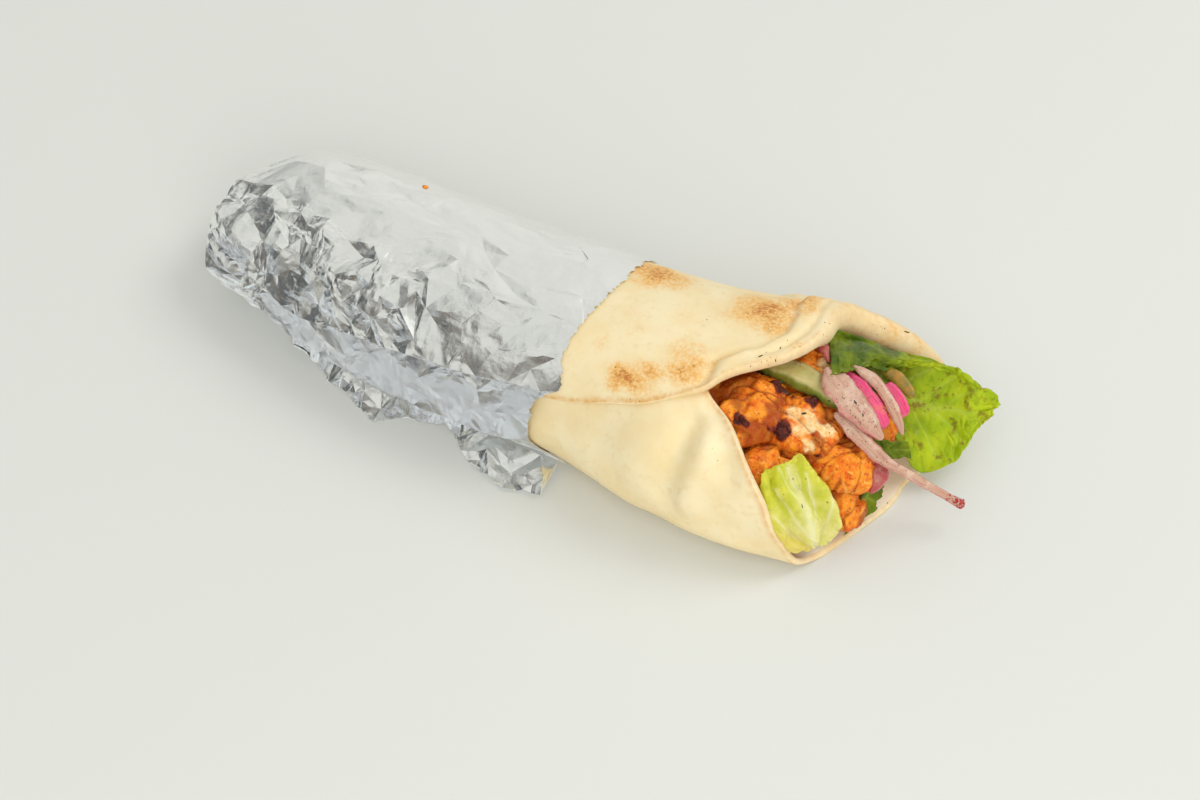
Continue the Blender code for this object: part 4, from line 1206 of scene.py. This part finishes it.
def strip(name, look, slot):
    """A long piece like the CAD's, with a finer section, uneven edges and shallow lengthwise ribs."""
    points, thickness, facing, square, bow, narrows = STRIPS[name]
    seed = 600 + 20 * list(STRIPS).index(name)
    length = np.linalg.norm(np.diff(np.array(points, float)[:, :3], axis=0), axis=1).sum()
    count = int(length / STRIP_STEP)
    line = smooth_line(points, count)
    centres, half = line[:, :3], line[:, 3]
    tangent = unit(np.gradient(centres, axis=0))
    side = unit(np.cross(tangent, facing))
    face = unit(np.cross(side, tangent))
    turn = np.linspace(0, 2 * math.pi, STRIP_SIDES, endpoint=False)
    across, up = [np.sign(way) * np.abs(way) ** square for way in (np.cos(turn), np.sin(turn))]
    at = np.linspace(-1, 1, count)
    far = np.clip((np.abs(at) - (0.86 - 0.35 * narrows)) / (0.14 + 0.35 * narrows), 0, 1)
    wide = 1 - (0.1 + 0.55 * narrows) * far**2.2
    last = np.clip(1 - (1 - np.abs(at)) * length / (0.9 * thickness), 0, 1)
    thin = np.sqrt(1 - 0.85 * last**2)
    wide = wide * (0.55 + 0.45 * thin)

    def everywhere(values, rows=count):
        return np.broadcast_to(values, (rows, STRIP_SIDES))

    steps = np.arange(count)[:, None] * STRIP_STEP
    edges = np.stack([everywhere(steps / 4), everywhere(across * 0.4)], axis=-1)
    wave = 0.16 * soft_noise(edges, 1, seed) + 0.05 * soft_noise(edges * 3.7, 1, seed + 1)
    across_mm = (across * (1 + wave) * wide[:, None]) * half[:, None]
    arch = bow * (1 - across**2) - bow * 0.5
    up_mm = up * thin[:, None] * thickness / 2 + arch * wide[:, None]
    grid = centres[:, None] + side[:, None] * across_mm[..., None] + face[:, None] * up_mm[..., None]
    outward = side[:, None] * (across / half[:, None])[..., None]
    outward = unit(outward + face[:, None] * (up * 2 / thickness)[:, None])
    rib_at = np.stack([everywhere(steps / 14), across_mm / 0.55 + 9 * (up > 0)], axis=-1)
    rib_rise, lump_rise = STRIP_RELIEF[slot]
    relief = rib_rise * soft_noise(rib_at, 1, seed + 3) + lump_rise * cloud(grid, 2.8, seed + 5, 2)
    grid = grid + outward * relief[..., None]
    ends = []
    for ring, way in ((grid[0], -tangent[0]), (grid[-1], tangent[-1])):
        middle = ring.mean(axis=0)
        ends.append([middle + r * (ring - middle) + way * 0.25 * (1 - r**2) for r in STRIP_CLOSING])
    rings = np.concatenate([ends[0][::-1], grid, ends[1]])
    rows = len(rings)
    along = np.concatenate([[0] * 3, np.arange(count) * STRIP_STEP, [length] * 3])
    values = {"across": across, "along": along[:, None], "up": up}
    values = {label: everywhere(data, rows) for label, data in values.items()}
    faces = closed_tube(rows, STRIP_SIDES)
    return piece(name + "_cut", rings.reshape(-1, 3), faces, look, [name], values)


def sheet_normal(grid):
    """Directions square to a grid of points, on the side that faces the mouth."""
    normal = unit(np.cross(np.gradient(grid, axis=0), np.gradient(grid, axis=1)))
    return normal * np.sign((normal @ TOWARDS_MOUTH).sum())


def sheet_solid(middle, thickness):
    """Points and faces of a sheet of this thickness about a grid of points."""
    half = sheet_normal(middle) * thickness[..., None] / 2
    rows, columns = thickness.shape
    faces = grid_faces(rows, 2 * columns, around=True)
    for corner in (0, (rows - 1) * 2 * columns):
        other = corner + 2 * columns - 1
        faces += [[corner + j, corner + j + 1, other - 1 - j, other - j] for j in range(columns - 1)]
    return both_sides(middle + half, middle - half).reshape(-1, 3), faces


def both_sides(upper, lower):
    """Values of a grid for its upper side and then, backwards, for its lower one."""
    return np.concatenate([upper, lower[:, ::-1]], axis=1)


def leaf_relief(name, seed, flat, along, across, edge, flap, vein, near):
    """How far each place of a leaf stands out, with its blisters, uneven edge and crinkled fold, and how high
    its blisters are."""
    warp = np.stack([soft_noise(flat, 4, seed + k) for k in (10, 11)], axis=-1)
    blister = np.abs(soft_noise(flat + 1.2 * warp, 3.4, seed + 12))
    blister = blister + 0.5 * np.abs(soft_noise(flat + warp, 1.7, seed + 13))
    detail = 1.5 * cloud(flat, 13, seed + 14, 2) + 0.75 * blister * step(0.2, 2.2, near) - 0.35 * vein
    detail += 0.9 * edge**4 * soft_noise(flat, 4.5, seed + 15)
    if name == "romaine_leaf":
        bent = across + 0.16 * soft_noise(flat, 9, seed + 16)
        detail += 1.2 * np.sin(2 * math.pi * (2.2 * bent + 0.3 * along + 0.1)) * step(1.0, 0.7, along)
        detail += 0.3 * np.abs(soft_noise(flat / (5, 1.6), 1, seed + 19))
    if name == "large_leaf":
        crinkle = np.stack([flat[..., 0], np.broadcast_to(22 * flap, along.shape)], axis=-1)
        crinkled = 1.7 * cloud(crinkle, 5, seed + 17, 3) + 1.3 * np.abs(soft_noise(crinkle, 2.4, seed + 20))
        detail = detail * (1 - flap) + flap * crinkled
        detail += 0.6 * step(0.45, 0.1, along) * cloud(flat, 5, seed + 18, 2)
    return detail, blister


def leaf(name, look, slot):
    """A leaf like the CAD's, with veins, blisters between them, and a ragged, rippled edge."""
    first, second, cup, ripples, ripple, (rows, columns), thickness = LEAVES[name]
    seed = 900 + 30 * list(LEAVES).index(name)
    s, t = np.linspace(0, 1, rows), np.linspace(0, 1, columns)
    a, b = smooth_line(first, rows), smooth_line(second, rows)
    run = np.linalg.norm(np.diff(a, axis=0), axis=1).sum()
    wide = np.linalg.norm(b - a, axis=1)
    # The outline is moved in by uneven amounts, more in some notches.
    notch = [0.7 + 0.7 * cloud(beside(s * run, 50 * k), 6, seed + k, 3, 0.6) for k in (0, 1)]
    low_t, high_t = [np.clip(depth / np.maximum(wide, 2), 0, 0.2)[:, None] for depth in notch]
    folded = FOLDED_SHARE if name == "large_leaf" else 0.0
    low_t, high_t = low_t * (folded == 0), 1 - high_t
    flap = np.clip(1 - t / folded, 0, 1) if folded else 0 * t
    across = low_t + np.clip((t - folded) / (1 - folded), 0, 1) * (high_t - low_t)
    ragged = 2.4 if name == "romaine_leaf" else 0.9
    ends = [ragged * (1 + cloud(beside(t * wide.max(), 90 * k), 7, seed + 4 + k, 3, 0.6)) for k in (0, 1)]
    along = (ends[0] / run)[None] + s[:, None] * (1 - (ends[0] + ends[1]) / run)[None]

    def on_edge(points):
        return np.stack([np.interp(along, s, column) for column in points.T], axis=-1)

    a, b = on_edge(a), on_edge(b)
    grid = a + across[..., None] * (b - a)
    normal = sheet_normal(a + t[:, None] * (b - a))
    edge = np.abs(2 * across - 1)
    rise = ripple * edge * np.sin(along * ripples * 1.1) - cup * (1 - edge**2) * np.sin(math.pi * along)
    if folded:
        grid = grid + (flap[:, None] * (on_edge(smooth_line(FOLDED_EDGE, rows)) - a))
        bulge = 2.2 * np.sin(math.pi * np.clip(flap * 1.1, 0, 1)) * (1 - step(0.6, 0.95, along))
        rise = rise * (1 - flap) + bulge
    flat = np.stack([along * run, across * np.interp(along, s, wide)], axis=-1)
    vein, near = np.zeros(along.shape), np.full(along.shape, 99.0)
    scale = (run, np.mean(wide))
    for points, half in VEINS[name]:
        far, _ = line_distance(along * scale[0], across * scale[1], np.array(points) * scale)
        vein = np.maximum(vein, bell(far, half) * min(1, half / 0.5))
        near = np.minimum(near, far)
    detail, blister = leaf_relief(name, seed, flat, along, across, edge, flap, vein, near)
    thick = thickness * (0.45 + 0.55 * step(0, 0.12, 1 - edge)) + 0.5 * vein * (name == "romaine_leaf")
    middle = grid + normal * rise[..., None]
    middle = middle + sheet_normal(middle) * detail[..., None]
    points, faces = sheet_solid(middle, thick)
    if slot == "dark_leaf" and not folded:
        along = 0.25 * along
    values = {"vein": vein * (flap < 0.02), "along": along, "across": across, "blister": blister,
              "flap": np.broadcast_to(flap, along.shape)}
    values = {label: both_sides(data, data) for label, data in values.items()}
    return piece(name + "_veined", points, faces, look, [name], values)


def onion_look(name, skin):
    """Onion; skin says how much of it is the dark red outer skin."""
    look = Look(name, 0.22, (0.35, (1.0, 0.6, 0.5), 0.003), (0.4, 0.1))
    veins = look.noise(1.0, 3, 0.6, place=look.plane("along", "across", 0.06, 3.2))
    colour = look.mix(look.spread(veins, 0.38, 0.66), (0.62, 0.40, 0.28), (0.52, 0.27, 0.19))
    colour = look.mix(look.patches(4.5, 0.45, 0.7), colour, (0.72, 0.52, 0.39))
    colour = look.mix(look.patches(2.4, 0.3, 0.6, 0.6 * skin, skin), colour, (0.42, 0.035, 0.05))
    rims = look.times(look.from_middle(0.70, 1.0, 0.0, 0.75), look.patches(1.6, 0.35, 0.6, detail=2))
    colour = look.mix(rims, colour, (0.62, 0.12, 0.17))
    dots = look.times(look.dots(0.85, 0.26, 0.14, 2.0, 0.46, 0.56), 0.7)
    colour = look.mix(dots, colour, (0.48, 0.10, 0.10))
    return look.done(colour, None, look.bump(veins, 0.12, 0.5))


def pickle_look():
    look = Look("pickle", 0.25, (0.3, (1.0, 0.8, 0.3), 0.003), (0.5, 0.12))
    streaks = look.noise(1.0, 3, 0.6, place=look.plane("along", "across", 0.12, 2.2))
    colour = look.mix(look.spread(streaks, 0.35, 0.7), (0.48, 0.41, 0.13), (0.60, 0.51, 0.21))
    colour = look.mix(look.from_middle(0.15, 0.45, 0.6, 0.0), colour, (0.44, 0.40, 0.12))
    underside = look.spread(look.value("up"), 0.1, -0.2)
    skin = look.sums("MAXIMUM", look.from_middle(0.80, 0.97), underside)
    colour = look.mix(skin, colour, (0.22, 0.26, 0.035))
    colour = look.mix(look.dots(1.3, 0.20, 0.10, 3.0, 0.5, 0.56), colour, (0.35, 0.10, 0.04))
    return look.done(colour, None, look.bump(look.noise(0.8, 3), 0.15, 0.4))


def turnip_look():
    look = Look("turnip", 0.2, (0.3, (1.0, 0.25, 0.35), 0.003), (0.5, 0.1))
    streaks = look.noise(1.0, 3, 0.6, place=look.plane("along", "across", 0.08, 3.0))
    colour = look.mix(look.spread(streaks, 0.3, 0.7), (0.80, 0.03, 0.17), (0.88, 0.13, 0.27))
    colour = look.mix(look.patches(5, 0.5, 0.7, detail=2), colour, (0.86, 0.17, 0.16))
    colour = look.mix(look.from_middle(0.84, 1.0, 0.0, 0.7), colour, (0.62, 0.010, 0.10))
    return look.done(colour, None, look.bump(streaks, 0.12, 0.4))


def pepper_look():
    look = Look("pepper", 0.25, (0.2, (1.0, 0.5, 0.1), 0.003), (0.5, 0.1))
    colour = look.mix(look.patches(3.0, 0.35, 0.65), (0.46, 0.23, 0.02), (0.24, 0.19, 0.02))
    colour = look.mix(look.spread(look.value("across"), 0.3, 0.9), colour, (0.30, 0.30, 0.03))
    return look.done(colour, None, look.bump(look.noise(0.9, 3), 0.15, 0.4))


def dark_leaf_look():
    look = Look("dark_leaf", 0.36, (0.15, (0.4, 1.0, 0.1), 0.002), (0.06, 0.2), Specular_IOR_Level=0.22)
    patches = look.patches(7, 0.35, 0.68)
    deep = look.mix(patches, (0.060, 0.105, 0.003), (0.18, 0.235, 0.005))
    bright = look.mix(patches, (0.335, 0.455, 0.006), (0.47, 0.56, 0.012))
    # It is brighter towards its tip, and darkened with painted shade in the hollow under its fold.
    along = look.value("along")
    tone = look.sums("ADD", along, look.times(look.noise(9, 2), 0.35))
    hollow = look.times(look.spread(look.value("flap"), 0.0, 0.15), look.spread(along, 0.42, 0.28))
    tone = look.sums("SUBTRACT", tone, look.times(hollow, 0.75))
    colour = look.mix(look.spread(tone, 0.45, 0.85), deep, bright)
    # Painted shade: darker green in the hollows between blisters.
    colour = look.mix(look.spread(look.value("blister"), 0.35, 0.0, 0.0, 0.35), colour, (0.06, 0.13, 0.008))
    colour = look.mix(look.times(look.value("vein"), 0.4), colour, (0.53, 0.65, 0.09))
    stains = look.patches(4.2, 0.545, 0.66, 0.0, 0.75, detail=4, rough=0.65)
    colour = look.mix(look.times(stains, look.spread(along, 0.35, 0.5)), colour, (0.22, 0.13, 0.015))
    return look.done(colour, None, look.bump(look.noise(0.7, 3), 0.15, 0.4))


def light_leaf_look():
    look = Look("light_leaf", 0.25, (0.3, (0.8, 1.0, 0.2), 0.003), (0.5, 0.12))
    patches = look.patches(5, 0.35, 0.68)
    green = look.mix(patches, (0.54, 0.57, 0.02), (0.69, 0.67, 0.06))
    pale = look.mix(patches, (0.69, 0.65, 0.13), (0.78, 0.73, 0.25))
    along = look.value("along")
    tone = look.sums("ADD", along, look.times(look.noise(6, 2), 0.5))
    colour = look.mix(look.spread(tone, 0.55, 1.1), green, pale)
    colour = look.mix(look.times(look.value("vein"), 0.75), colour, (0.86, 0.83, 0.47))
    # Painted shade in amber, strongest where along is high and across is low.
    oil = look.spread(look.sums("SUBTRACT", along, look.value("across")), 0.25, 0.75, 0.0, 0.6)
    colour = look.mix(oil, colour, (0.72, 0.50, 0.05))
    return look.done(colour, None, look.bump(look.noise(0.7, 3), 0.2, 0.4))


# ---------------------------------------------------------------- specks

# Where each kind of speck lies: a middle, a radius and a number.
SUMAC = (
    ((93, 1, 45), 7, 70), ((98, -7, 38), 7, 70), ((112, -7, 27), 5, 26), ((125, -2, 17), 5, 30),
    ((100, 9, 43), 6, 26), ((76, 4, 44), 8, 16), ((106, -9, 25), 4, 20), ((118, 28, 26), 12, 46),
    ((104, 20, 30), 8, 30), ((65, -13, 45), 12, 14), ((80, -12, 42), 12, 16), ((94, -12, 32), 10, 14),
    ((73, -30, 36), 8, 8), ((66, 2, 52), 8, 14), ((74, 14, 51), 8, 12), ((92, 32, 46), 8, 10),
    ((105, -10, 5), 9, 20), ((90, -33, 28), 9, 8), ((60, -10, 50), 7, 6),
)
SUMAC_TIP = (((134.8, -0.2, 12), 2.4, 90), ((131.5, -0.6, 13.5), 1.8, 16))
PEPPER = (
    ((65, -13, 45), 12, 5), ((80, -12, 42), 12, 6), ((94, -12, 32), 10, 4), ((100, 15, 35), 9, 5),
    ((90, -33, 28), 9, 6), ((66, 2, 52), 9, 5), ((78, 18, 50), 9, 4), ((105, -10, 5), 10, 6),
    ((40, -25, 42), 22, 7), ((30, 10, 52), 24, 6), ((60, -36, 30), 14, 5), ((112, 24, 30), 10, 12),
)
HERBS = (
    ((97, 44, 40), 3, 2), ((66, 2, 52), 9, 4), ((92, -33, 26), 8, 2), ((80, -12, 42), 12, 4),
    ((93, 0, 44), 8, 3),
)
SCRAPS = ((roll_point(np.array([-86.0]), 47, 0, 0)[0], 1.0, 1),)
# The kinds of specks: name, slot, look, seed, places, smallest and largest size, and shape. A look is its
# name, two colours and its roughness.
SPECKS = (
    ("sumac_flakes", "chicken", ("sumac", (0.16, 0.012, 0.010), (0.30, 0.035, 0.015), 0.6),
     11, SUMAC, (0.2, 0.6), (1, 0.8, 0.45)),
    ("sumac_on_onion_tip", "chicken", ("red_sumac", (0.40, 0.02, 0.03), (0.55, 0.06, 0.06), 0.5),
     12, SUMAC_TIP, (0.4, 1.0), (1, 0.85, 0.7)),
    ("black_pepper_grains", "chicken", ("black_pepper", (0.035, 0.016, 0.012), (0.16, 0.06, 0.025), 0.6),
     13, PEPPER, (0.25, 0.65), (1, 0.8, 0.6)),
    ("herb_flecks", "dark_leaf", ("dried_herb", (0.035, 0.05, 0.012), (0.08, 0.09, 0.02), 0.7),
     14, HERBS, (1.2, 2.6), (1, 0.35, 0.2)),
)
SPECK_START = 20  # how far out the lines start on which specks come down


def surface_tree(objects):
    """The surfaces of these objects, for rays to meet."""
    points, faces, start = [], [], 0
    for obj in objects:
        flat = np.empty(len(obj.data.vertices) * 3, np.float32)
        obj.data.vertices.foreach_get("co", flat)
        points += flat.reshape(-1, 3).tolist()
        faces += [[start + v for v in polygon.vertices] for polygon in obj.data.polygons]
        start = len(points)
    return BVHTree.FromPolygons(points, faces)


def scatter(name, look, tree, seed, places, sizes, shape):
    """Small flakes joined in one mesh, lying on what lines that come in towards the filling meet first."""
    rng = np.random.default_rng(seed)
    ways, flake_faces = ball(1)
    toward = unit(np.array(TOWARDS_MOUTH))
    side = unit(np.cross(toward, UPWARDS))
    up = np.cross(side, toward)
    points, faces = [], []
    for middle, radius in [(middle, radius) for middle, radius, count in places for _ in range(count)]:
        far, turn, size, roll = radius * math.sqrt(rng.random()), *rng.random(3)
        jitter = 0.7 + 0.6 * rng.random((len(ways), 1))
        turn, roll = 2 * math.pi * turn, 2 * math.pi * roll
        aside = far * (side * math.cos(turn) + up * math.sin(turn))
        start = (np.array(middle, float) + SPECK_START * toward + aside + ORIGIN) * MM
        place, normal, _, _ = tree.ray_cast(Vector(start), Vector(-toward), 2 * SPECK_START * MM)
        if place is None:
            continue
        normal = np.array(normal) * (1 if Vector(toward).dot(normal) > 0 else -1)
        across = unit(np.cross(normal, (math.cos(roll), math.sin(roll), 0.3)))
        half = (sizes[0] + size**2 * (sizes[1] - sizes[0])) / 2
        flake = ways * jitter * half * np.array(shape) @ np.stack([across, np.cross(normal, across), normal])
        faces += [[len(points) * len(ways) + v for v in face] for face in flake_faces]
        points.append(np.array(place) / MM - ORIGIN + flake)
    return piece(name, np.concatenate(points), faces, look)


def speck_look(name, first, second, roughness):
    """A look in patches of two colours."""
    look = Look(name, roughness)
    colour = look.mix(look.patches(1.1, 0.4, 0.6, detail=2), first, second)
    return look.done(colour, None, look.bump(look.noise(0.25, 2), 0.05, 0.4))


# ---------------------------------------------------------------- studio


# Softboxes: name, place, what they point at, size, watts, and whether they show in reflections and light matt
# surfaces.
LIGHTS = (
    ("key", (0.9, 0.9, 1.5), (0, 0, 0), 1.0, 12, False, True),
    ("gleam", (0.9, 0.9, 1.5), (0, 0, 0), 0.6, 5, True, False),
    ("fill", (0.2, -1.6, 1.4), (0, 0, 0), 1.6, 7, False, True),
    ("mouth_fill", (0.9, -1.1, 0.75), (0.09, 0.03, 0.03), 0.9, 7, False, True),
)
FLOOR_RADIUS = 4
EVEN_LIGHT = (0.63, 0.63, 0.615)  # what matt surfaces get from all round; only reflections show the patches
BRIGHT_PATCH = (-0.28, -0.36, 0.88)  # the way to the brightest patch
CAMERA_TURN = math.radians(25)  # round the wrap from straight in front, and up from the floor
CAMERA_LIFT = math.radians(48.5)
CAMERA_FAR = 0.95  # metres
LENS = 80  # millimetres, as is the sensor's width
SENSOR = 36


def stand(obj, place, way):
    """Put an object in the scene at a place, looking along a direction."""
    bpy.context.scene.collection.objects.link(obj)
    obj.location = place
    obj.rotation_euler = way.to_track_quat("-Z", "Y").to_euler()
    return obj


def lay_floor():
    """A pale floor that reflections don't show."""
    mesh = bpy.data.meshes.new("floor")
    turns = np.linspace(0, 2 * math.pi, 97)[:-1]
    rim = [(FLOOR_RADIUS * math.cos(turn), FLOOR_RADIUS * math.sin(turn), 0) for turn in turns]
    mesh.from_pydata(rim, [], [list(range(len(rim)))])
    paint = bpy.data.materials.new("floor")
    paint.use_nodes = True
    shader = paint.node_tree.nodes["Principled BSDF"]
    shader.inputs["Base Color"].default_value = (0.74, 0.75, 0.705, 1)
    shader.inputs["Roughness"].default_value = 0.7
    mesh.materials.append(paint)
    floor = bpy.data.objects.new("floor", mesh)
    bpy.context.scene.collection.objects.link(floor)
    floor.visible_glossy = False


def surroundings():
    """What the foil mirrors: a plain room that is paler above and behind, with soft patches."""
    world = bpy.data.worlds.new("studio")
    bpy.context.scene.world = world
    world.use_nodes = True
    room = Nodes(world.node_tree, "Generated")
    split = room.node("ShaderNodeSeparateXYZ")
    room.link(room.place, split.inputs[0])
    x, y, z = split.outputs
    towards = room.node("ShaderNodeVectorMath", operation="DOT_PRODUCT")
    room.link(room.place, towards.inputs[0])
    towards.inputs[1].default_value = Vector(BRIGHT_PATCH).normalized()
    large, small = room.noise(1 / 2.6, 2, 0.5), room.noise(1 / 5, 2, 0.5)
    front = room.mix(room.spread(large, 0.42, 0.60), (0.36, 0.36, 0.35), (0.17, 0.15, 0.125))
    front = room.mix(room.spread(z, 0.35, 0.92), front, (0.62, 0.63, 0.61))
    front = room.mix(room.spread(towards.outputs["Value"], 0.90, 0.97), front, (0.76, 0.77, 0.75))
    level = room.mix(room.spread(small, 0.44, 0.56), (0.60, 0.67, 0.72), (0.20, 0.20, 0.20))
    front = room.mix(room.spread(z, 0.05, 0.22), level, front)
    pale = room.mix(room.spread(small, 0.40, 0.60), (0.90, 0.91, 0.875), (0.66, 0.67, 0.65))
    above = room.mix(room.spread(y, 0.0, 0.25), front, pale)
    left = room.mix(room.spread(small, 0.44, 0.53), above, (0.07, 0.08, 0.09))
    above = room.mix(room.spread(x, -0.60, -0.78), above, left)
    under = room.mix(room.spread(small, 0.46, 0.56, 0, 0.85), (0.80, 0.86, 0.91), (0.19, 0.165, 0.14))
    under = room.mix(room.spread(y, -0.3, 0.1), under, (0.74, 0.75, 0.71))
    seen = room.mix(room.spread(z, -0.02, 0.02), under, above)
    sky = room.mix(room.node("ShaderNodeLightPath").outputs["Is Glossy Ray"], EVEN_LIGHT, seen)
    background = room.tree.nodes["Background"]
    room.link(sky, background.inputs["Color"])
    background.inputs["Strength"].default_value = 1.0


def studio():
    """The floor, what the foil mirrors, the lights and the camera."""
    lay_floor()
    surroundings()
    for name, place, aim, size, power, glossy, matt in LIGHTS:
        data = bpy.data.lights.new(name, "AREA")
        data.shape, data.size, data.energy = "SQUARE", size, power
        light = stand(bpy.data.objects.new(name, data), place, Vector(aim) - Vector(place))
        light.visible_glossy, light.visible_diffuse = glossy, matt
    lens = bpy.data.cameras.new("camera")
    lens.lens, lens.sensor_width = LENS, SENSOR
    lens.clip_start = 0.01
    flat = math.cos(CAMERA_LIFT)
    back = Vector((math.sin(CAMERA_TURN) * flat, -math.cos(CAMERA_TURN) * flat, math.sin(CAMERA_LIFT)))
    camera = stand(bpy.data.objects.new("camera", lens), Vector(ORIGIN) * MM + back * CAMERA_FAR, -back)
    bpy.context.scene.camera = camera
    bpy.context.scene.view_settings.view_transform = "Standard"


foil, meat = foil_look(), meat_look()
made = [foil_wrapper(foil)]
foil_ruffle("foil_skirt", SKIRT_EDGE, foil, seed=201, size=5.5, strength=1.7, lift=2.5, start_height=7.0)
foil_ruffle("foil_flap", FLAP_EDGE, foil, seed=301, size=11.0, strength=2.8, lift=2.5, start_height=5.0)
made.append(flatbread(bread_look()))
made += [chicken_chunk(chunk, meat) for chunk in CHUNKS]
chicken_filling(meat)
onion, onion_skin = onion_look("onion", 0.0), onion_look("onion_skin", 0.85)
cuts = {"pickle": pickle_look(), "onion": onion, "turnip": turnip_look(), "pepper": pepper_look()}
for name in STRIPS:
    slot = name.split("_")[0]
    made.append(strip(name, onion_skin if name in RED_ONION else cuts[slot], slot))
dark, light = dark_leaf_look(), light_leaf_look()
for name in ("large_leaf", "low_leaf", "dark_leaf_bit"):
    made.append(leaf(name, dark, "dark_leaf"))
made.append(leaf("romaine_leaf", light, "light_leaf"))
surfaces = surface_tree(made)
for name, slot, paint, seed, places, sizes, shape in SPECKS:
    scatter(name, speck_look(*paint), surfaces, seed, places, sizes, shape)
scatter("chicken_scraps", meat, surfaces, 15, SCRAPS, (2.6, 3.0), (1, 0.9, 0.5))
studio()
